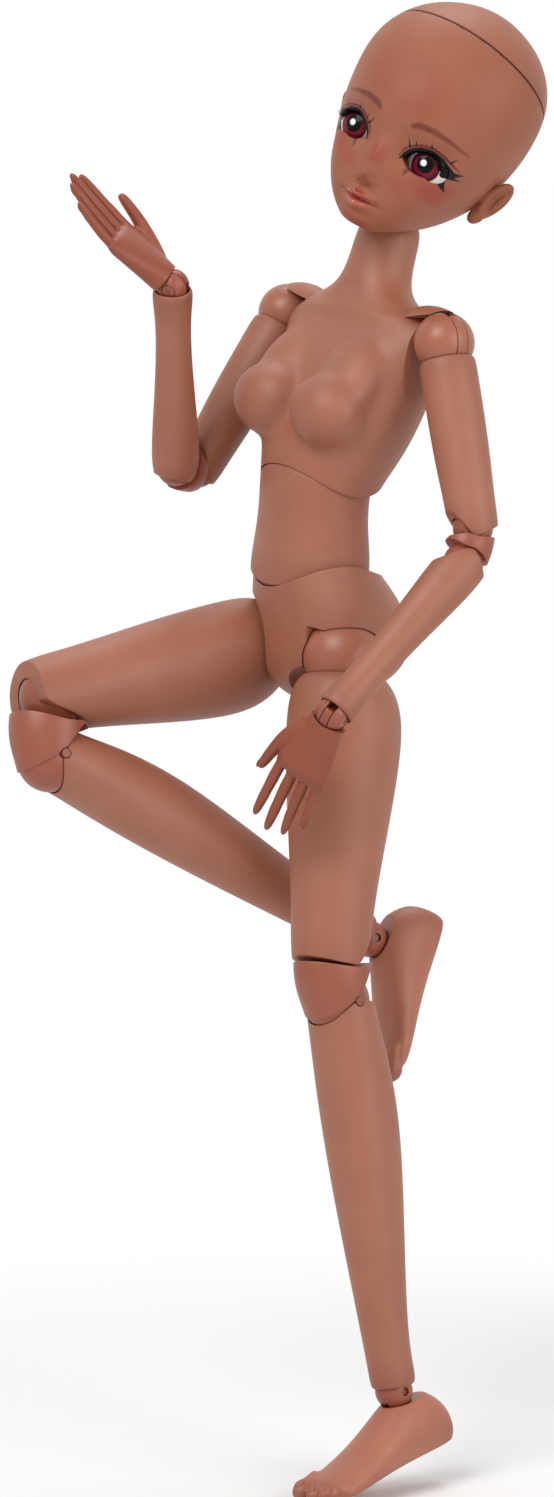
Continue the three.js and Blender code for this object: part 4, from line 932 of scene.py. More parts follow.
lid_line = [(7.6, 16.2, 0.25), (8.7, 18.8, 0.6), (10.5, 21.0, 0.8), (13.6, 22.9, 0.95),
            (17.5, 23.4, 1.15), (20.9, 22.0, 1.5), (23.6, 19.6, 1.8), (25.8, 19.0, 1.0),
            (28.5, 20.2, 0.1)]
wing_line = [(23.4, 17.6, 1.1), (28.4, 17.6, 0.1)]
crease_line = [(7.0, 17.0, 0.15), (7.8, 20.0, 0.3), (9.4, 22.0, 0.4), (13.2, 24.5, 0.45),
               (17.5, 25.3, 0.5), (21.4, 24.2, 0.5), (24.8, 22.3, 0.4), (27.4, 20.8, 0.1)]
spikes = [
    [(9.5, 22.0, 0.4), (7.9, 25.0, 0.05)],
    [(11.4, 23.4, 0.35), (11.0, 25.2, 0.05)],
    [(16.7, 25.2, 0.35), (16.3, 27.0, 0.05)],
    [(23.9, 22.9, 0.4), (25.2, 25.2, 0.05)],
    [(22.9, 15.0, 1.5), (25.1, 11.4, 0.05)],
]
corner_line = [(11.9, 13.0, 0.9), (11.6, 10.8, 0.05)]
low_lid_line = [(eye_middle + across, eye_level + up - 0.1, 0.28) for across, up in lower_lid]
brow_line = [(7.8, 29.8, 1.0), (9.8, 30.8, 1.3), (15.1, 31.3, 1.1), (21.1, 30.3, 0.8),
             (27.6, 28.0, 0.2)]
socket_shade = (15.0, 27.0, 13.0, 5.0)
nostril = (2.3, 2.0, 0.95, 0.6)
crown_blush = (0.0, 42.0, 30.0, 14.0)
blushes = [
    (24.0, 9.6, 12.0, 6.5, 0.85),
    (13.0, 7.0, 7.5, 5.0, 0.35),
    (0.0, 13.5, 4.2, 6.5, 0.65),
    (0.0, -12.5, 8.0, 4.5, 0.40),
    (0.0, 4.6, 4.0, 3.0, 0.35),
    (*crown_blush, 0.28),
]
lash_ink = (0.003, 0.0015, 0.0015, 1)
wine = (0.105, 0.009, 0.012, 1)
blush_red = (0.300, 0.056, 0.036, 1)
brow_brown = (0.130, 0.028, 0.018, 1)
corner_shade = (0.05, 0.032, 0.032, 1)
low_lip_red = (0.430, 0.080, 0.048, 1)
top_lip_red = (0.345, 0.040, 0.024, 1)
parting_dark = (0.12, 0.012, 0.010, 1)
nostril_dark = (0.12, 0.024, 0.016, 1)
seam_shade = (0.110, 0.022, 0.014, 1)


def seam_line(colour, y, z):
    """The fine dark line along the seam of the cap: painted shade in the gap between head and cap."""
    seam = abs(above_seam(y, z) - seam_gap / 2).step(0.95, 0.45)
    return (seam * 0.75).between(colour, seam_shade)


def lips(side, z):
    """The lower lip, the upper lip and the line between them, each 1 inside and 0 outside."""
    top_edge = (side * 1.4).least(1.3) * 0.42 - 1.9 - side * side * 0.075
    low_edge = side * side * 0.13 - 8.4
    middle = side * side * 0.008 - 4.9
    upper = (top_edge - z).step(-0.2, 0.35) * (z - middle).step(-0.15, 0.15) * side.step(5.9, 5.0)
    lower = (z - low_edge).step(-0.5, 0.9) * (middle - z).step(-0.15, 0.15) * side.step(5.4, 3.6)
    parting = abs(z - middle).step(0.42, 0.08) * side.step(6.3, 5.3)
    return lower, upper, parting


def head_paint(own):
    """Skin, painted shade in the eye sockets, blush, brows, lids and lashes, lips, nostrils and the
    cap's seam as a line of painted shade.
    """
    made = plastic(own, face_skin, face_shade, 0.40)
    x, y, z = own.parts()
    side = abs(x)
    ahead = y.step(-14, -22)
    # Painted shade in the eye sockets, below the brows.
    shade = spot(side, z, *socket_shade) * 0.35
    colour = (shade * ahead).between(made["Base Color"], face_shade)
    blush = spot(side, z, *blushes[0][:4]) * blushes[0][4]
    for middle, level, wide, tall, strength in blushes[1:]:
        blush = blush.most(spot(side, z, middle, level, wide, tall) * strength)
    colour = (blush * ahead).between(colour, blush_red)
    hairs = (own.node("ShaderNodeVectorMath", {"operation": "MULTIPLY"},
                      {0: own, 1: (3.2, 0.3, 0.9)})).noise(1.0, 2.0).step(0.30, 0.62)
    brow = stroke(side, z, brow_line, 0.75) * (0.70 + hairs * 0.25)
    crease = stroke(side, z, crease_line, 0.3) * 0.9
    low_lid = stroke(side, z, low_lid_line, 0.25) * 0.8
    ink = stroke(side, z, lid_line).most(stroke(side, z, wing_line))
    for spike in spikes:
        ink = ink.most(stroke(side, z, spike))
    lower, upper, parting = lips(side, z)
    strokes = [
        (brow, brow_brown),
        (crease, wine),
        (low_lid, wine),
        (ink, lash_ink),
        (stroke(side, z, corner_line) * 0.6, corner_shade),
        (lower * 0.8, low_lip_red),
        (upper * 0.92, top_lip_red),
        (parting * 0.8, parting_dark),
        (spot(side, z, *nostril) * 0.7, nostril_dark),
    ]
    for share, tint in strokes:
        colour = (share * ahead).between(colour, tint)
    gloss = (lower + upper).least(1.0) * ahead
    made["Base Color"] = seam_line(colour, y, z)
    made["Roughness"] = made["Roughness"] - gloss * 0.27
    made["Coat Weight"] = gloss * 0.8
    return made


head = ringed("head", head_rings, sides=24, levels=3)
finer(head, *face_box)
finer(head, *features_box, smooth=0.0)
press(head, (1, -1), face_pair_presses)
press(head, (1,), face_middle_presses)
for side in (1, -1):
    add(head, ear(side))
bridge = keep(cad_inside("head", skull_place),
              ringed("bridge_trim", head_room_rings, sides=24, grow=bridge_reach))
cut(
    head,
    ringed("head_room", head_room_rings, sides=24),
    ball(neck_room, 0, skull_forward, -skull_up),
    rod("Z", neck_room * 1.35, -neck_cone - skull_up, -skull_up, 0, skull_forward, sides=48,
        tip=neck_room * 0.97),
    *(ball(eye_ball + pin_gap, side * eye_spread, -eye_forward, eye_height) for side in (1, -1)),
    *(lid_opening(side) for side in (1, -1)),
    cap_side(0),
)
add(head, bridge)
rounded(head, width=0.22, angle=50)
head_finish = paint("head_paint", head_paint, **{"Specular IOR Level": 0.22})
put(head, "head_shell", skull_place, "head", head_finish, "skin", "head")


# Head cap: the crown of the same casting, held on by a magnet at the back. Its seam is a fine slanting
# line from the forehead to the nape, darkened with painted shade.
def cap_paint(own):
    made = plastic(own, face_skin, face_shade, 0.40)
    x, y, z = own.parts()
    blush = spot(x, z, *crown_blush) * y.step(-14, -22) * 0.28
    made["Base Color"] = seam_line(blush.between(made["Base Color"], blush_red), y, z)
    return made


cap = ringed("cap", head_rings, sides=24, levels=3)
press(cap, (1,), [forehead_press])
cut(cap, ringed("cap_room", head_room_rings, sides=24))
keep(cap, cap_side(seam_gap))
rounded(cap, width=0.3)
cap_finish = paint("cap_paint", cap_paint, **{"Specular IOR Level": 0.3})
put(cap, "head_cap_shell", skull_place, "head", cap_finish, "skin", "head_cap")
repaint(pin_steel, "cap_magnet")


# Eyes: acrylic balls that are glued into the head from behind. Each has a slight clear bulge over
# a painted iris, and the lid's line runs on over its edge.
iris_wide = 5.6
iris_out = 1.5
iris_drop = -0.9
iris_dark_red = (0.150, 0.006, 0.016, 1)
iris_red = (0.240, 0.014, 0.030, 1)
iris_edge_and_lid_shade = (0.040, 0.003, 0.007, 1)
pupil_black = (0.002, 0.001, 0.001, 1)
eye_white = (0.66, 0.57, 0.56, 1)
highlight_white = (0.80, 0.90, 0.90, 1)
bulge_size = (4.6, 3, 4.6)
bulge_push = (0, -0.22, 0)


def distance(across, up):
    return (across * across + up * up) ** 0.5


def eye_paint(side):
    """White, iris with its rays and dark edge, painted shadow of the upper lid on the iris, pupil, one
    painted highlight, and the lid's line on top.
    """
    def make(own):
        x, y, z = own.parts()
        across = x - side * (eye_spread + iris_out)
        up = z - eye_height - iris_drop
        away = distance(across, up)
        angle = up.maths("ARCTAN2", up, across) * 26.0
        rays = angle.maths("SINE", angle) * 0.5 + 0.5
        fibres = own.noise(1.4, 3.0).step(0.3, 0.7)
        red = (rays * 0.3 + fibres * 0.35).between(iris_dark_red, iris_red)
        rim = away.step(iris_wide * 0.62, iris_wide * 0.98)
        # The top of the iris is darker: painted shadow of the upper lid and its lashes.
        lid_shadow = (up - abs(across) * 0.2).step(-1.2, 3.2)
        colour = (rim.most(lid_shadow) * 0.9).between(red, iris_edge_and_lid_shade)
        colour = distance(across, up - 0.7).step(3.6, 3.0).between(colour, pupil_black)
        white = away.step(iris_wide - 0.12, iris_wide + 0.22)
        colour = white.between(colour, eye_white)
        # A painted highlight: a reflection on the eye's glossy front.
        glint = distance(across + 0.6, up - 1.1).step(1.5, 0.9)
        colour = (glint * y.step(-24, -26)).between(colour, highlight_white)
        lid = stroke(abs(x), z, lid_line).most(stroke(abs(x), z, wing_line))
        colour = lid.between(colour, lash_ink)
        return {"Base Color": colour, "Roughness": 0.10 + white * 0.06 + fibres * 0.02}
    return make


for word, side in both_sides:
    eye = ball(eye_ball, side * eye_spread, -eye_forward, eye_height, sides=72)
    swell(eye, side * (eye_spread + 0.6), -eye_forward - eye_ball, eye_height, *bulge_size, bulge_push)
    finish = paint(f"eye_{word}_paint", eye_paint(side), **{"Specular IOR Level": 0.12})
    put(eye, f"eye_{word}_glass", skull_place, "head", finish, "eye", f"eye_{word}")


# Eyelashes: a strip of black fibre with fine strands. It is glued inside the upper edge of each
# eye opening, along the painted lid line.
strand_dark = (0.002, 0.0015, 0.0015, 1)
strand_light = (0.006, 0.004, 0.004, 1)


def tube(points, radii, sides=12, levels=1, flat=1.0):
    """A tapering round limb through points, as fingers, toes and lashes are."""
    full = fullness(sides, levels)
    points = [Vector(point) for point in points]
    rings = []
    for count, (point, radius) in enumerate(zip(points, radii)):
        ahead = points[min(count + 1, len(points) - 1)] - points[max(count - 1, 0)]
        across = Vector((1, 0, 0)).cross(ahead).normalized()
        over = ahead.cross(across).normalized()
        ring = []
        for step in range(sides):
            angle = 2 * math.pi * step / sides
            spoke = across * math.cos(angle) + over * math.sin(angle) * flat
            ring.append(point + spoke * radius * full)
        rings.append(ring)
    return drawn("tube", rings, levels)


def lash_paint(own):
    grain = own.noise(2.0, 3.0)
    return {
        "Base Color": grain.between(strand_dark, strand_light),
        "Roughness": 0.45 + grain * 0.2,
        "height": grain,
    }


lash_black = paint("lash_paint", lash_paint, **{"Specular IOR Level": 0.1})
lash_line = smooth_line(upper_lid, 9)
lash_forward = 31.0
lash_curve = 0.021
strand_radii = [0.2, 0.15, 0.03]
band_radius = 0.42
for word, side in both_sides:
    strands = []
    for count, (x, z) in enumerate(lash_line[3:-1]):
        out = max((x - 1.0) * 0.115, -0.5) * 0.9
        long = 2.2 + 1.6 * count / (len(lash_line) - 5)
        root = Vector((side * (eye_middle + x), lash_curve * (x + 7) ** 2 - lash_forward - 0.2,
                       eye_level + z - 0.3))
        tip = root + Vector((side * out, -0.85, 0.42)) * long
        middle = (root + tip) / 2 + Vector((0, -0.2, -0.5))
        strands.append(tube([root, middle, tip], strand_radii, sides=4, levels=0))
    band = [(side * (eye_middle + x), lash_curve * (x + 7) ** 2 - lash_forward, eye_level + z)
            for x, z in lash_line[1:]]
    strands.append(tube(band, [band_radius] * len(band), sides=6, levels=0))
    deselect()
    for strand in strands:
        strand.select_set(True)
    bpy.context.view_layer.objects.active = strands[0]
    bpy.ops.object.join()
    put(bpy.context.object, f"lashes_{word}_strip", skull_place, "head", lash_black, "lash",
        f"eyelashes_{word}")


# Shoulders: a polished ball turns on its axle in the chest, and a tab swings in the ball's slot
# and ends in the stem that the arm twists on. A steel pin crosses both, out of sight.
shoulder_tab_thick = 4.4
slot_gap = 0.4
arm_stem_long = 15.0
arm_pose = {
    "left": dict(swing=8.3, lift=21.5, twist=-24.9, elbow=24.3, wrist_turn=-20.3, wrist=40.3),
    "right": dict(swing=-23.4, lift=0.2, twist=18.4, elbow=64.6, wrist_turn=-24.0, wrist=49.0),
}
shoulder_axle = 18.0
shoulder_pin = 1.8
ball_pin_reach = 10.3
ball_swings = ((-40, 95), (95, 230))
tab_swing = (-20, 120)
tab_pin_reach = 4.4
ball_skin = (0.350, 0.120, 0.066, 1)
joint_red = (0.292, 0.077, 0.039, 1)


def ball_paint(own):
    return plastic(own, ball_skin, joint_red, 0.28)


def swing_room(axis, reach, half_bar, first, last, half_thick, towards):
    """The room that a bar needs as it swings about an axis: straight sides and a round end."""
    def at(angle, along, aside):
        turn = math.radians(angle)
        across = along * math.sin(turn) + aside * math.cos(turn)
        return across * towards, -along * math.cos(turn) + aside * math.sin(turn)
    steps = 14
    outline = [at(first, 0, -half_bar), at(first, reach, -half_bar)]
    outline += [at(first + (last - first) * step / steps, reach, 0) for step in range(steps + 1)]
    outline += [at(last, reach, half_bar), at(last, 0, half_bar)]
    return slab(outline, -half_thick, half_thick, axis)


def limb_stem(radius, start, end):
    """A stem down the middle of a limb, with a round end that keeps it in."""
    stem = rod("Z", radius, -end, -start)
    return add(stem, rod("Z", radius * 1.45, -end, -end + radius * 0.7))


ball_gloss = paint("ball_paint", ball_paint)
arm_places = {}
for word, side in both_sides:
    bend = arm_pose[word]
    start = (side * shoulder_spread, shoulder_back, shoulder_height)
    swing_place = turned(chest_place, *start, "X", bend["swing"])
    half = shoulder_tab_thick / 2
    half_slot = half + slot_gap
    body = ball(shoulder_ball)
    add(body, rod("X", arm_stem, *sorted((-side * shoulder_ball * 0.7, -side * shoulder_axle))))
    cut(
        body,
        *(swing_room("Y", shoulder_ball + overrun, arm_stem + slot_gap, first, last, half_slot, side)
          for first, last in ball_swings),
        rod("Y", arm_stem * 1.5 + slot_gap, -half_slot, half_slot),
        rod("Y", shoulder_pin, -ball_pin_reach, ball_pin_reach),
    )
    rounded(body, width=0.3)
    put(body, f"shoulder_ball_{word}_slotted", swing_place, f"shoulder_ball_{word}", ball_gloss,
        "joint_plastic", f"shoulder_ball_{word}")
    repaint(pin_steel, f"shoulder_pin_{word}")

    raise_place = turned(swing_place, 0, 0, 0, "Y", -side * bend["lift"])
    tab = swing_room("Y", shoulder_ball * 1.2, arm_stem, *tab_swing, half, side)
    keep(tab, ball(shoulder_ball))
    foot = shoulder_ball + ball_gap
    add(
        tab,
        rod("Y", arm_stem * 1.5, -half, half),
        block((-arm_stem * 0.72, -half, -foot - overrun), (arm_stem * 0.72, half, 0)),
        limb_stem(arm_stem, foot, shoulder_ball + arm_stem_long),
    )
    cut(tab, rod("Y", shoulder_pin, -tab_pin_reach, tab_pin_reach))
    rounded(tab, width=0.25)
    put(tab, f"shoulder_tab_{word}_blade", raise_place, f"shoulder_tab_{word}", ball_gloss,
        "joint_plastic", f"shoulder_tab_{word}")
    arm_places[word] = turned(raise_place, 0, 0, 0, "Z", bend["twist"])


# Upper arms: cast plastic shells, cupped above for the shoulder ball and cut at a slant below,
# with a pocket for the elbow's upper lobe. The elbow pin is painted brown and pressed in.
upper_arm_long = 71.8
upper_arm_rings = [
    (-80.0, 0, 5.0, 5.6, 6.2),
    (-77.0, 0, 7.2, 7.8, 8.6),
    (-72.0, 0, 8.7, 9.1, 9.7),
    (-66.0, 0, 9.0, 9.3, 9.9),
    (-58.0, 0, 9.5, 9.5, 10.0),
    (-45.0, 0, 10.4, 10.4, 10.6),
    (-30.0, 0, 10.7, 10.7, 10.9),
    (-16.0, 0, 10.8, 10.8, 10.8),
    (-8.0, 0, 10.8, 10.8, 10.8),
    (-6.5, 0, 9.9, 9.9, 9.9),
    (-6.3, 0, 6.0, 6.0, 6.0),
]
elbow_lobe = 7.6
elbow_half_wide = 5.6
elbow_pin = 1.4
elbow_pin_seat = 1.5
elbow_tool = 20.0
rim_drop = 50.0
pin_skin = (0.27, 0.072, 0.037, 1)
pin_shade = (0.2, 0.045, 0.023, 1)
elbow_rim = [(-1.6, 1.4), (-1.1, 0.86), (-0.27, -0.45), (0.3, -0.45), (1.1, -0.08), (1.6, 0)]


def brown_pin_paint(own):
    position = own.node("ShaderNodeTexCoord", {}, {}, 3)
    cloud = position.noise(300.0, 2.0)
    return {
        "Base Color": cloud.between(pin_skin, pin_shade),
        "Roughness": 0.34 + cloud * 0.12,
        "height": position.noise(3000.0, 2.0),
    }


def limb_bore(radius, end, foot):
    return [
        rod("Z", radius + pin_gap, -end, 0),
        rod("Z", radius * 1.45 + pin_gap * 2, -foot, -end + radius * 0.7 + pin_gap),
    ]


def limb_paint(first, last, light=shell_brown, shade=shell_shade, shine=0.42):
    """Sprayed plastic, with painted shade towards the two ends of the limb, where it meets its joints.
    """
    def make(own):
        made = plastic(own, light, shade, shine)
        z = own.parts()[2]
        # Painted shade near both ends of the limb.
        ends = z.step(first - 16, first - 2) * 0.35
        ends = ends.most(z.step(last + 20, last + 2) * 0.6)
        made["Base Color"] = ends.between(made["Base Color"], shade)
        return made
    return make


def below_rim(points, drop):
    line = smooth_line(points)
    return slab([*line, (line[-1][0], -drop), (line[0][0], -drop)], -far_reach, far_reach)


def elbow_pocket(z):
    """The room for a lobe of the elbow, with the two bores for its pin."""
    edge = elbow_half_wide + slot_gap
    pocket = ball(elbow_lobe + ball_gap, 0, 0, z)
    keep(pocket, block((-edge, -elbow_tool, z - elbow_tool), (edge, elbow_tool, z + elbow_tool)))
    reach = edge + elbow_pin_seat
    return add(pocket, rod("X", elbow_pin + pin_gap, -reach, reach, 0, 0, z))


pin_brown = paint("pin_brown_paint", brown_pin_paint)
arm_finish = paint("upper_arm_paint", limb_paint(-6, -80))
for word, side in both_sides:
    arm = ringed("upper_arm", upper_arm_rings)
    cut(
        arm,
        ball(shoulder_ball + ball_gap),
        *limb_bore(arm_stem, shoulder_ball + arm_stem_long, upper_arm_long),
        elbow_pocket(-upper_arm_long),
        below_rim([(y * elbow_lobe, z * elbow_lobe - upper_arm_long) for y, z in elbow_rim],
                  upper_arm_long + rim_drop),
    )
    rounded(arm, width=0.45)
    put(arm, f"upper_arm_{word}_shell", arm_places[word], f"upper_arm_{word}", arm_finish, "shell",
        f"upper_arm_{word}")
    repaint(pin_brown, f"elbow_upper_pin_{word}")


# Elbows: one double joint of glossier plastic in each arm. A lobe sits in each arm shell, and a
# waisted collar with a ridge shows between them.
elbow_gap = 13.7
collar_edge = [(1.16, -0.22), (0.33, -0.56), (-0.33, -0.6), (-1.1, -0.84)]
collar_rings = [
    (-16.0, 0, 5.4, 6.2, 7.2),
    (-13.7, 0, 7.0, 7.6, 8.8),
    (-10.3, 0, 8.4, 8.6, 9.4),
    (-6.85, 0, 8.9, 9.0, 9.9),
    (-3.4, 0, 8.4, 8.6, 9.4),
    (0.0, 0, 7.0, 7.6, 8.8),
    (2.3, 0, 5.4, 6.2, 7.2),
]
joint_dark = (0.208, 0.045, 0.023, 1)
elbow_places = {}


def joint_paint(own):
    return plastic(own, joint_red, joint_dark, 0.30)


joint_gloss = paint("joint_paint", joint_paint)
for word, side in both_sides:
    bend = arm_pose[word]["elbow"]
    upper_place = turned(arm_places[word], 0, 0, -upper_arm_long, "X", -bend)
    lobes = []
    for level in (0, -elbow_gap):
        lobe = ball(elbow_lobe, 0, 0, level)
        keep(lobe, block((-elbow_half_wide, -elbow_tool, -elbow_tool * 2),
                         (elbow_half_wide, elbow_tool, elbow_tool)))
        lobes.append(lobe)
    upper = smooth_line([(y * elbow_lobe, z * elbow_lobe) for y, z in collar_edge], 5)
    lower = [(y, -elbow_gap - z) for y, z in upper]
    collar = ringed("collar", collar_rings)
    keep(collar, slab([*upper, *lower[::-1]], -elbow_tool, elbow_tool))
    elbow = add(lobes[0], lobes[1], collar)
    for level in (0, -elbow_gap):
        cut(elbow, rod("X", elbow_pin + pin_gap, -elbow_tool, elbow_tool, 0, 0, level))
    rounded(elbow, width=0.5)
    put(elbow, f"elbow_{word}_double", upper_place, f"elbow_{word}", joint_gloss, "joint_plastic",
        f"elbow_{word}")
    repaint(pin_brown, f"elbow_lower_pin_{word}")
    elbow_places[word] = turned(upper_place, 0, 0, -elbow_gap, "X", -bend)


# Forearms: slim cast plastic shells with the elbow's pocket above and a small cup for the wrist
# ball below. Its stem turns in a bore with a wider end, so that it can't come out.
forearm_long = 77.8
forearm_rings = [
    (-76.4, 0, 6.0, 6.0, 6.0),
    (-76.2, 0, 7.5, 7.5, 7.5),
    (-73.5, 0, 7.7, 7.7, 7.8),
    (-69.0, 0, 7.3, 7.3, 7.5),
    (-60.0, 0, 6.6, 6.5, 6.8),
    (-44.0, 0, 6.9, 6.9, 7.2),
    (-25.0, 0, 8.1, 8.2, 8.6),
    (-10.0, 0, 9.1, 9.3, 9.8),
    (-2.0, 0, 8.9, 9.2, 9.8),
    (3.0, 0, 8.0, 8.6, 9.2),
    (7.0, 0, 6.0, 6.8, 7.6),
]
wrist_ball = 6.4
wrist_stem = 2.4
wrist_stem_long = 9.0


def above_rim(points, rise):
    line = smooth_line(points)
    return slab([(line[0][0], rise), *line, (line[-1][0], rise)][::-1], -far_reach, far_reach)


forearm_finish = paint("forearm_paint", limb_paint(6, -78))
for word, side in both_sides:
    forearm = ringed("forearm", forearm_rings)
    bore_top = forearm_long - wrist_ball - wrist_stem_long + wrist_stem * 0.7
    cut(
        forearm,
        ball(wrist_ball + ball_gap, 0, 0, -forearm_long),
        rod("Z", wrist_stem + pin_gap, -forearm_long, 0),
        rod("Z", wrist_stem * 1.45 + pin_gap * 2, -bore_top, 0),
        elbow_pocket(0),
        above_rim([(y * elbow_lobe, -z * elbow_lobe) for y, z in elbow_rim], far_reach),
    )
    rounded(forearm, width=0.4)
    put(forearm, f"forearm_{word}_shell", elbow_places[word], f"forearm_{word}", forearm_finish,
        "shell", f"forearm_{word}")


# Wrists: a small slotted ball that turns at the end of the forearm, with a pin whose round heads
# show as discs on both sides.
wrist_tongue = 3.2
wrist_pin = 1.2
wrist_pin_head = 2.5
head_thick = 1.0
head_dimple = 0.9
dimple_deep = 0.45
wrist_swing = (-152, 150)


def end_ball(radius, stem, stem_long, tongue, pin, axis, first, last, head=0):
    """A ball on a stem with a wider end. A tongue swings on a pin in its slot."""
    half_slot = tongue / 2 + slot_gap
    hub = tongue * 0.8 + slot_gap
    body = ball(radius)
    tip = radius + stem_long
    add(body, rod("Z", stem, radius * 0.8, tip), rod("Z", stem * 1.45, tip - stem * 0.7 + 0.3, tip))
    cut(
        body,
        swing_room(axis, radius + overrun, hub, first, last, half_slot, 1),
        rod(axis, hub, -half_slot, half_slot),
        rod(axis, pin + pin_gap, -radius - overrun, radius + overrun),
    )
    if head:
        seat = radius * 0.86 - head_thick - pin_gap
        for start, end in ((-radius - overrun, -seat), (seat, radius + overrun)):
            cut(body, rod(axis, head + pin_gap, start, end))
    return rounded(body, width=0.25)


wrist_places = {}
for word, side in both_sides:
    bend = arm_pose[word]
    wrist_place = turned(elbow_places[word], 0, 0, -forearm_long, "Z", bend["wrist_turn"])
    body = end_ball(wrist_ball, wrist_stem, wrist_stem_long, wrist_tongue, wrist_pin, "Y",
                    *wrist_swing, wrist_pin_head)
    put(body, f"wrist_ball_{word}_slotted", wrist_place, f"wrist_ball_{word}", joint_gloss,
        "joint_plastic", f"wrist_ball_{word}")
    seat = wrist_ball * 0.86
    pin = rod("Y", wrist_pin, -seat, seat)
    add(pin, rod("Y", wrist_pin_head, -seat, -seat + head_thick),
        rod("Y", wrist_pin_head, seat - head_thick, seat))
    for start, end in ((-seat - overrun, dimple_deep - seat), (seat - dimple_deep, seat + overrun)):
        cut(pin, rod("Y", head_dimple, start, end))
    rounded(pin, width=0.2)
    put(pin, f"wrist_pin_{word}_headed", wrist_place, f"wrist_ball_{word}", joint_gloss,
        "joint_plastic", f"wrist_pin_{word}")
    wrist_places[word] = turned(wrist_place, 0, 0, 0, "Y", bend["wrist"])


# Hands: solid cast resin. A palm with a cup and a tongue for the wrist ball, four slender
# fingers and a thumb, with knuckles, creases and nails, sprayed redder than the arms.
palm_long = 27.0
palm_wide = 11.6
finger_thick = 2.25
hand_curl = {1: 1.0, -1: 0.8}
palm_rings = [
    (-29.7, 0, 2.6, 11.0, 10.4),
    (-27.0, 0, 3.7, 11.6, 11.1),
    (-21.6, 0, 4.3, 11.4, 10.7),
    (-14.9, 0, 4.8, 10.0, 9.3),
    (-8.1, 0, 5.5, 8.0, 7.8),
    (-3.8, 0, 5.6, 7.5, 7.5),
    (1.0, 0, 5.0, 6.8, 6.8),
    (3.5, 0, 2.9, 5.8, 5.8),
]
palm_rim = [(-13.9, -2.7), (0, -4.0), (13.9, -3.2)]
fingers = [(-0.74, 1.08, 1.0, 0.12), (-0.25, 1.2, 1.03, 0.16), (0.24, 1.12, 0.98, 0.2),
           (0.7, 0.88, 0.86, 0.24)]
finger_steps = [(-0.16, 0.9), (0, 1.0), (0.16, 0.92), (0.33, 0.97), (0.4, 0.98), (0.54, 0.86),
                (0.68, 0.9), (0.75, 0.84), (0.88, 0.74), (0.96, 0.56), (1.0, 0.2)]
thumb_line = [(0, -0.4, -0.3), (0.08, -0.95, -0.62), (0.24, -1.25, -0.95), (0.34, -1.42, -1.3),
              (0.36, -1.45, -1.38)]
thumb_radii = [1.7, 1.45, 1.1, 0.85, 0.3]
knuckle_size = (3, 2.0, 2.6)
knuckle_high = 0.45
nail_size = (1.15, 2.1)
thumb_nail_size = (1.3, 2.3)
nail_thick = 0.55
hand_cup_reach = 9.4
hand_pin_reach = 3.2
hand_swing = (-114, 98)
tongue_gap = 0.05
# The hands' own redder brown, made darker with painted shade.
shaded_hand_skin = (0.262, 0.058, 0.022, 1)
hand_shade = (0.190, 0.034, 0.014, 1)


def hand_paint(own):
    made = plastic(own, shaded_hand_skin, hand_shade, 0.36)
    z = own.parts()[2]
    tips = z.step(-44, -58) * 0.6
    knuckle = abs((z + 27.5) * 0.4).step(1.4, 0.3) * 0.3
    made["Base Color"] = tips.most(knuckle).between(made["Base Color"], hand_shade)
    return made


def nail(place, ahead, outward, wide, long):
    """A small flat oval on the back of a finger or toe."""
    plate = egg(wide, nail_thick, long, 0, 0, 0, sides=20)
    ahead = Vector(ahead).normalized()
    outward = (Vector(outward) - ahead * ahead.dot(outward)).normalized()
    across = outward.cross(ahead)
    turn = Matrix((across, outward, ahead)).transposed().to_4x4()
    plate.data.transform(Matrix.Translation(place) @ turn)
    return plate


def make_hand(side):
    """Palm, fingers and thumb in one skin, then knuckles, the wrist's cup and tongue, and nails."""
    inward = -side
    palm = ringed("palm", palm_rings)
    nails = []
    for across, long, thick, curl in fingers:
        root = -palm_long * 0.92
        reach = palm_long * long
        points = []
        for share, _ in finger_steps:
            bent = max(share, 0) ** 1.6 * hand_curl[side]
            points.append(Vector((inward * curl * reach * bent,
                                  across * palm_wide * (1 + share * 0.12), root - reach * share)))
        radii = [share * thick * finger_thick for _, share in finger_steps]
        add(palm, tube(points, radii))
        place = points[-3] + Vector((side * radii[-3] * 0.72, 0, 0))
        nails.append(nail(place, points[-2] - points[-4], (side, 0, 0),
                          *(size * thick for size in nail_size)))
    line = smooth_line([(inward * x * palm_wide, y * palm_wide, z * palm_long)
                        for x, y, z in thumb_line], 2)
    shares = np.linspace(0, 1, len(line))
    radii = [float(radius) * finger_thick
             for radius in np.interp(shares, np.linspace(0, 1, len(thumb_radii)), thumb_radii)]
    add(palm, tube(line, radii))
    thumb_end = Vector(line[-3])
    outward = Vector((side * 0.75, -0.6, 0.1))
    nails.append(nail(thumb_end + outward.normalized() * radii[-3] * 0.75,
                      Vector(line[-2]) - Vector(line[-5]), outward, *thumb_nail_size))
    cast(palm, size=0.45, smooth=3)
    for across, *_ in fingers:
        swell(palm, side * 4.4, across * palm_wide * 0.97, -palm_long * 0.95, *knuckle_size,
              (side * knuckle_high, 0, 0))
    cut(palm, ball(wrist_ball + ball_gap), above_rim(palm_rim, far_reach))
    half = wrist_tongue / 2
    hub = wrist_tongue * 0.8
    blade = swing_room("Y", wrist_ball + overrun, hub * 0.8, *hand_swing, half, 1)
    keep(blade, ball(wrist_ball - tongue_gap))
    root = block((-hub * 0.8, -half, -hand_cup_reach), (hub * 0.8, half, 0))
    add(palm, blade, rod("Y", hub, -half, half), root)
    cut(palm, rod("Y", wrist_pin + pin_gap, -hand_pin_reach, hand_pin_reach))
    add(palm, *nails)
    return palm


hand_finish = paint("hand_paint", hand_paint)
for word, side in both_sides:
    put(make_hand(side), f"hand_{word}_cast", wrist_places[word], f"hand_{word}", hand_finish, "skin",
        f"hand_{word}")


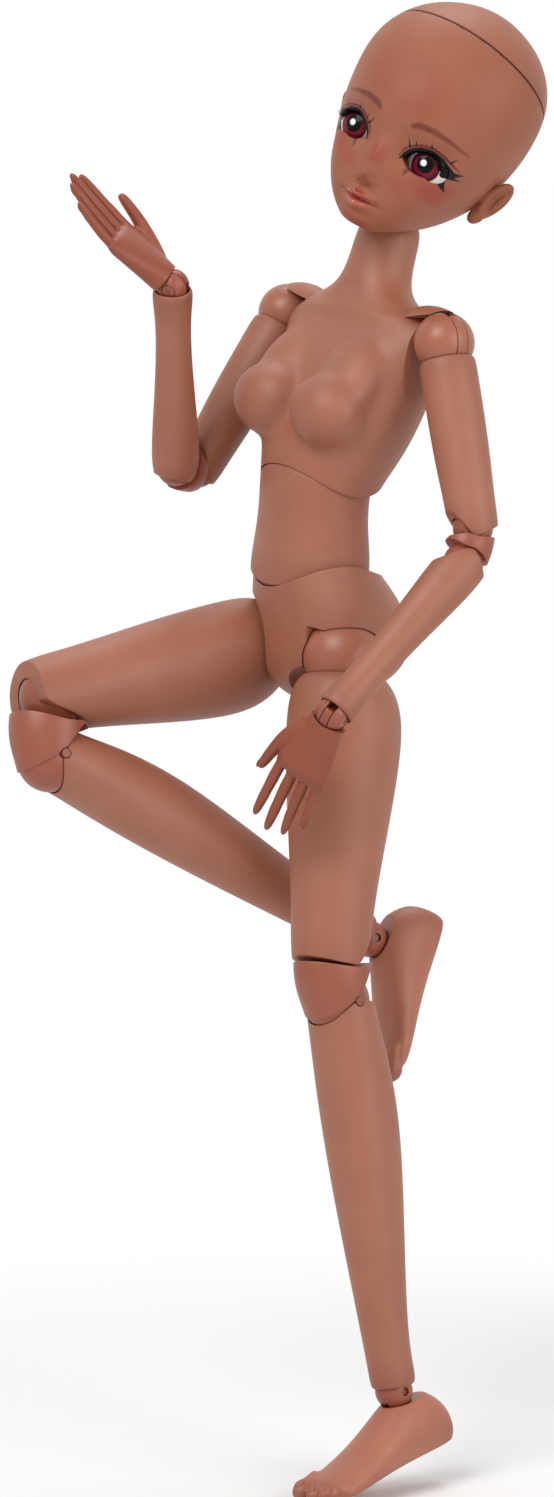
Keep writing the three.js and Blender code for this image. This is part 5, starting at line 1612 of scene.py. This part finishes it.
# Hips: large polished balls that turn on axles in the pelvis. The tab inside each one swings in
# a slot below and carries the thigh's stem; the thigh hides it.
hip_tab_thick = 4.4
hip_axle = 7.0
hip_pin = 2.1
hip_pin_reach = 13.7
hip_tab_swing = (-40, 40)
thigh_places = {}
for word, side in both_sides:
    bend = leg_pose[word]
    swing_place = turned(pelvis_place, side * hip_spread, 0, 0, "X", -bend["swing"])
    half_slot = hip_tab_thick / 2 + slot_gap
    body = ball(hip_ball, sides=80)
    add(body, rod("X", leg_stem, *sorted((-side * hip_ball * 0.8, -side * (hip_ball + hip_axle)))))
    cut(
        body,
        swing_room("Y", hip_ball + overrun, leg_stem + slot_gap, *hip_tab_swing, half_slot, side),
        rod("Y", leg_stem * 1.5 + slot_gap, -half_slot, half_slot),
        rod("Y", hip_pin, -hip_pin_reach, hip_pin_reach),
    )
    rounded(body, width=0.3)
    put(body, f"hip_ball_{word}_slotted", swing_place, f"hip_ball_{word}", ball_gloss,
        "joint_plastic", f"hip_ball_{word}")
    repaint(pin_steel, f"hip_pin_{word}")
    repaint(inner_plastic, f"hip_tab_{word}")
    raise_place = turned(swing_place, 0, 0, 0, "Y", -side * bend["lift"])
    thigh_places[word] = turned(raise_place, 0, 0, 0, "Z", bend["twist"])


# Thighs: long cast shells. A cup above takes the hip ball, and the lower end is cut so that its
# front covers the kneecap's top and its back is open for the knee to fold.
thigh_long = 107.3
leg_stem_long = 16.0
knee_lobe = 12.5
knee_pin = 1.8
knee_wide = 15.0
knee_wall = 0.75
shell_wall = 3.0
thigh_rings = [
    (-132.0, 0, 13.6, 13.4, 12.2),
    (-124.0, 0, 14.2, 14.0, 12.5),
    (-112.0, 0, 15.3, 16.6, 13.3),
    (-98.0, 0, 15.7, 16.6, 14.3),
    (-78.0, 0, 17.6, 17.6, 17.6),
    (-52.0, 0, 20.7, 19.1, 22.4),
    (-30.0, 0, 22.5, 19.4, 25.0),
    (-18.0, 0, 21.6, 19.1, 22.9),
    (-11.1, 0, 18.7, 17.6, 19.1),
    (-7.0, 0, 14.9, 14.8, 14.8),
    (-6.4, 0, 10.0, 10.0, 10.0),
]
thigh_rim = [(-1.6, -0.52), (-0.24, -0.8), (0.24, -0.64), (1.12, 0.76), (1.6, 0.96)]


def knee_pocket(z):
    """The room for a lobe of the knee, with the two bores for its pin."""
    reach = knee_wide - knee_wall
    bore = rod("X", knee_pin + pin_gap, -reach, reach, 0, 0, z)
    return add(ball(knee_lobe + ball_gap, 0, 0, z), bore)


thigh_finish = paint("thigh_paint", limb_paint(-4, -122))
for word, side in both_sides:
    thigh = ringed("thigh", thigh_rings, levels=3)
    cut(
        thigh,
        ball(hip_ball + ball_gap, sides=80),
        *limb_bore(leg_stem, hip_ball + leg_stem_long, thigh_long),
        ringed("thigh_room", thigh_rings[3:7], sides=12, levels=1, grow=-shell_wall),
        knee_pocket(-thigh_long),
        below_rim([(y * knee_lobe, z * knee_lobe - thigh_long) for y, z in thigh_rim],
                  thigh_long + rim_drop),
    )
    rounded(thigh, shell_round)
    put(thigh, f"thigh_{word}_shell", thigh_places[word], f"thigh_{word}", thigh_finish, "shell",
        f"thigh_{word}")
    repaint(pin_brown, f"knee_upper_pin_{word}", f"knee_lower_pin_{word}")


# Knees: a double joint of glossier plastic. Its two round lobes sit in the thigh and the shin,
# and the kneecap wedge fills the front between them.
knee_gap = 24.2
wedge_top = [(-1.31, -0.62), (-0.24, -0.87), (0.28, -0.88), (0.64, -0.82), (0.93, -0.85)]
wedge_low = [(0.93, 0.95), (0.64, 1.02), (0.2, 0.44), (-0.1, 0.08), (-0.93, -0.5)]
wedge_front = [(-1.14, -1.78), (-1.36, -0.96)]
wedge_round = 1.0
knee_tool = 20.0
wedge_rings = [
    (-34.0, 0, 11.2, 10.4, 11.4),
    (-31.5, 0, 12.0, 11.4, 11.9),
    (-24.2, 0, 13.8, 13.6, 13.6),
    (-18.2, 0, 14.6, 16.0, 14.3),
    (-9.7, 0, 14.9, 16.7, 14.3),
    (0.0, 0, 13.5, 15.3, 13.6),
    (6.0, 0, 12.5, 14.3, 13.0),
]
shin_places = {}
for word, side in both_sides:
    bend = leg_pose[word]["knee"]
    upper_place = turned(thigh_places[word], 0, 0, -thigh_long, "X", bend)
    outline = smooth_line([(y * knee_lobe, z * knee_lobe) for y, z in wedge_top], 4)
    outline += smooth_line([(y * knee_lobe, z * knee_lobe - knee_gap) for y, z in wedge_low], 4)
    outline += [(y * knee_lobe, z * knee_lobe) for y, z in wedge_front]
    wedge = ringed("wedge", wedge_rings)
    keep(wedge, slab(outline, -knee_tool, knee_tool))
    rounded(wedge, wedge_round)
    knee = ball(knee_lobe)
    add(knee, ball(knee_lobe, 0, 0, -knee_gap), wedge)
    for level in (0, -knee_gap):
        cut(knee, rod("X", knee_pin + pin_gap, -knee_tool, knee_tool, 0, 0, level))
    rounded(knee, width=0.3)
    put(knee, f"knee_{word}_double", upper_place, f"knee_{word}", joint_gloss, "joint_plastic",
        f"knee_{word}")
    shin_places[word] = turned(upper_place, 0, 0, -knee_gap, "X", bend)


# Shins: hollow cast plastic shells with a full calf, a slanting rim at the knee and a cup for the
# ankle ball, whose stem turns in a bore in the shin's lower end.
shin_long = 150.5
ankle_ball = 7.2
ankle_stem = 2.8
ankle_stem_long = 10.0
shin_rings = [
    (-148.7, 0, 6.8, 6.8, 7.0),
    (-148.5, 0, 8.4, 8.4, 8.8),
    (-144.0, 0, 8.6, 8.6, 9.1),
    (-132.0, -0.7, 8.3, 8.6, 9.2),
    (-106.6, -0.5, 10.0, 10.0, 12.0),
    (-76.2, 0.4, 12.4, 12.0, 15.5),
    (-48.8, 0.9, 14.0, 13.0, 18.0),
    (-25.4, 1.1, 14.3, 12.7, 16.5),
    (-10.1, 0.9, 14.3, 11.6, 13.7),
    (7.1, 0.4, 13.6, 10.9, 12.3),
    (14.0, 0.4, 13.0, 10.4, 11.8),
]
shin_rim = [(-1.6, -0.72), (-0.9, -0.56), (0, 0.03), (1.14, -0.36), (1.6, -0.5)]
shin_finish = paint("shin_paint", limb_paint(4, -150))
for word, side in both_sides:
    shin = ringed("shin", shin_rings, levels=3)
    stem_end = shin_long - ankle_ball - ankle_stem_long + ankle_stem * 0.7
    cut(
        shin,
        knee_pocket(0),
        ringed("shin_room", shin_rings[4:8], sides=12, levels=1, grow=-shell_wall),
        ball(ankle_ball + ball_gap, 0, 0, -shin_long),
        rod("Z", ankle_stem + pin_gap, -shin_long, -shin_long * 0.7),
        rod("Z", ankle_stem * 1.45 + pin_gap * 2, -stem_end, -shin_long * 0.6),
        above_rim([(y * knee_lobe, z * knee_lobe) for y, z in shin_rim], far_reach),
    )
    rounded(shin, width=0.45)
    put(shin, f"shin_{word}_shell", shin_places[word], f"shin_{word}", shin_finish, "shell",
        f"shin_{word}")


# Ankles: a small slotted ball of glossier plastic at the end of each shin, turning on its stem. A
# pin that is painted brown crosses it and carries the foot.
ankle_tongue = 3.6
ankle_pin = 1.4
ankle_swing = (-30, 30)
foot_places = {}
for word, side in both_sides:
    bend = leg_pose[word]
    ankle_place = turned(shin_places[word], 0, 0, -shin_long, "Z", bend["ankle_turn"])
    body = end_ball(ankle_ball, ankle_stem, ankle_stem_long, ankle_tongue, ankle_pin, "X",
                    *ankle_swing)
    put(body, f"ankle_ball_{word}_slotted", ankle_place, f"ankle_ball_{word}", joint_gloss,
        "joint_plastic", f"ankle_ball_{word}")
    repaint(pin_brown, f"ankle_pin_{word}")
    foot_places[word] = turned(ankle_place, 0, 0, 0, "X", bend["ankle"])


# Feet: solid cast resin with a flat sole, an arch, a round heel and five toes with nails. A
# tongue inside the cup hangs on the ankle pin.
foot_wide = 14.0
foot_long = 51.0
sole_drop = 26.0
toe_thick = 3.1
foot_sides = 16
foot_levels = 2
foot_cup_reach = 10.2
foot_pin_reach = 3.6
foot_tool_low = (-40, -80, -60)
foot_tool_high = (40, 60)
foot_sections = [
    (-0.88, 0.9, -0.76, -1.06),
    (-0.8, 1.0, -0.7, -1.1),
    (-0.64, 0.96, -0.62, -1.12),
    (-0.42, 0.86, -0.46, -1.1),
    (-0.18, 0.78, -0.2, -1.1),
    (0, 0.76, -0.02, -1.12),
    (0.18, 0.72, -0.08, -1.14),
    (0.34, 0.56, -0.34, -1.12),
    (0.39, 0.3, -0.55, -0.98),
]
toes = [(-0.66, 1.0, 1.32), (-0.16, 0.99, 1.0), (0.18, 0.955, 0.94), (0.48, 0.91, 0.88),
        (0.76, 0.85, 0.84)]
toe_steps = [(3.4, 0.35, 0.98), (2.2, 0.2, 0.86), (1.2, 0.0, 0.98), (0.7, -0.05, 0.9),
             (0.25, -0.12, 0.62), (0, -0.2, 0.2)]
foot_rim = [(-14, -3.6), (0, -5.0), (14, -5.3)]
# The feet's own redder brown, made lighter with painted light against the key lamp's shade on them.
lit_foot_skin = (0.405, 0.140, 0.080, 1)
foot_shade = (0.262, 0.07, 0.038, 1)


def foot_paint(own):
    made = plastic(own, lit_foot_skin, foot_shade, 0.38)
    _, y, z = own.parts()
    toe = y.step(-40, -48) * 0.55
    heel = y.step(8, 18) * z.step(-14, -22) * 0.5
    made["Base Color"] = toe.most(heel).between(made["Base Color"], foot_shade)
    return made


def make_foot(side):
    """Foot and toes in one skin, cut flat below, then the ankle's cup and tongue, and nails."""
    full = fullness(foot_sides, foot_levels)
    rings = []
    for along, half, top, bottom in foot_sections:
        middle = (top + bottom) / 2 * sole_drop
        tall = (top - bottom) / 2 * sole_drop
        ring = []
        for count in range(foot_sides):
            angle = 2 * math.pi * count / foot_sides
            ring.append((-math.cos(angle) * half * foot_wide * full, along * foot_long,
                         middle + math.sin(angle) * tall * full))
        rings.append(ring)
    foot = drawn("foot", rings, foot_levels)
    nails = []
    for across, long, thick in toes:
        radius = toe_thick * thick
        low = -sole_drop + radius * 0.85
        x = side * across * foot_wide
        tip = -long * foot_long
        line = [(x * 0.92, tip * 0.72, low + radius * 0.5)]
        line += [(x, tip + radius * back, low + radius * up) for back, up, _ in toe_steps]
        radii = [radius] + [radius * share for _, _, share in toe_steps]
        add(foot, tube(line, radii))
        place = Vector((x, tip + radius * 0.95, low + radius * 0.82))
        nails.append(nail(place, (0, -1, -0.28), (0, -0.2, 1), radius * 0.52, radius * 0.62))
    cast(foot, size=0.6, smooth=3)
    cut(
        foot,
        block(foot_tool_low, (*foot_tool_high, -sole_drop)),
        ball(ankle_ball + ball_gap),
        above_rim(foot_rim, far_reach),
    )
    half = ankle_tongue / 2
    hub = ankle_tongue * 0.8
    root = block((-half, -hub * 0.8, -foot_cup_reach), (half, hub * 0.8, 0))
    add(foot, rod("X", hub, -half, half), root)
    cut(foot, rod("X", ankle_pin + pin_gap, -foot_pin_reach, foot_pin_reach))
    add(foot, *nails)
    return foot


foot_finish = paint("foot_paint", foot_paint)
for word, side in both_sides:
    put(make_foot(side), f"foot_{word}_cast", foot_places[word], f"foot_{word}", foot_finish, "skin",
        f"foot_{word}")


# Studio: a pale floor, a white surround, a large soft lamp in front, a weaker fill and a lamp
# above. The camera looks from where the photograph's camera stood.
def floor_paint(own):
    """Pale near the object, where its shadow falls, and plain white for the camera farther out."""
    position = own.node("ShaderNodeTexCoord", {}, {}, 3)
    x, y, _ = position.parts()
    seen = Wire(own.tree, own.tree.nodes.new("ShaderNodeLightPath").outputs["Is Camera Ray"])
    far = (x * x + y * y).step(0.01, 0.16) * seen
    cloud = position.noise(3.0, 2.0)
    near = cloud.between((0.90, 0.90, 0.90, 1), (0.92, 0.92, 0.92, 1))
    return {"Base Color": far.between(near, (0, 0, 0, 1)),
            "Emission Color": far.between((0, 0, 0, 1), (1, 1, 1, 1)),
            "Roughness": 0.7 + cloud * 0.05}


def lamp(name, place, target, size, watts):
    deselect()
    bpy.ops.object.light_add(type="AREA", location=place)
    light = bpy.context.object
    light.name = name
    light.data.shape = "DISK"
    light.data.size = size
    light.data.energy = watts
    light.rotation_euler = (Vector(place) - Vector(target)).to_track_quat("Z", "Y").to_euler()


object_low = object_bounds()[0]
deselect()
floor_reach = 3.0
floor_gap = 0.0005
bpy.ops.mesh.primitive_circle_add(vertices=96, radius=floor_reach, fill_type="NGON",
                                  location=(0, 0, object_low.z - floor_gap))
floor = bpy.context.object
floor.name = "studio_floor"
floor.data.materials.append(
    paint("floor_paint", floor_paint, **{"Emission Strength": 1.0, "Specular IOR Level": 0.0}))

target = Vector((0, 0, 0.022))
camera_back = Vector((0.904, -0.416, 0.102)).normalized()
camera_right = Vector((0.418, 0.908, 0)).normalized()
camera_up = camera_back.cross(camera_right).normalized()
camera_distance = 2.2
frame_wide = 554
frame_high = 1497
sensor = 36
focal_pixels = 5714
hips_pixel = (314.12, 645.73)
deselect()
bpy.ops.object.camera_add(location=target + camera_back * camera_distance)
camera = bpy.context.object
turn = Matrix((camera_right, camera_up, camera_back)).transposed()
camera.rotation_euler = turn.to_euler()
camera.data.sensor_width = sensor
camera.data.lens = focal_pixels / frame_high * sensor
camera.data.shift_x = -(hips_pixel[0] - frame_wide / 2) / frame_high
camera.data.shift_y = (hips_pixel[1] - frame_high / 2) / frame_high
camera.data.clip_start = 0.05
camera.data.clip_end = 20
bpy.context.scene.camera = camera

key_place = target + camera_back * 1.2 - camera_right * 0.9 + Vector((0, 0, 1.3))
fill_place = target + camera_back * 1.1 + camera_right * 1.3 + Vector((0, 0, 0.4))
top_place = target + Vector((-0.5, 0.4, 1.5))
lamp("key", key_place, target, size=1.2, watts=24)
lamp("fill", fill_place, target, size=1.4, watts=12)
lamp("top", top_place, target, size=1.0, watts=8)

world = bpy.data.worlds.new("surround")
world.use_nodes = True
bpy.context.scene.world = world
tree = world.node_tree
tree.nodes.clear()
rays = tree.nodes.new("ShaderNodeLightPath")
seen = Wire(tree, rays.outputs["Is Camera Ray"]).most(Wire(tree, rays.outputs["Is Glossy Ray"]))
seen = seen.most(Wire(tree, rays.outputs["Is Transmission Ray"]))
sky = seen.node("ShaderNodeBackground", {}, {"Color": (1, 1, 1, 1), "Strength": seen * 0.55 + 0.45})
world_end = tree.nodes.new("ShaderNodeOutputWorld")
tree.links.new(sky.socket, world_end.inputs["Surface"])
bpy.context.scene.view_settings.view_transform = "Standard"
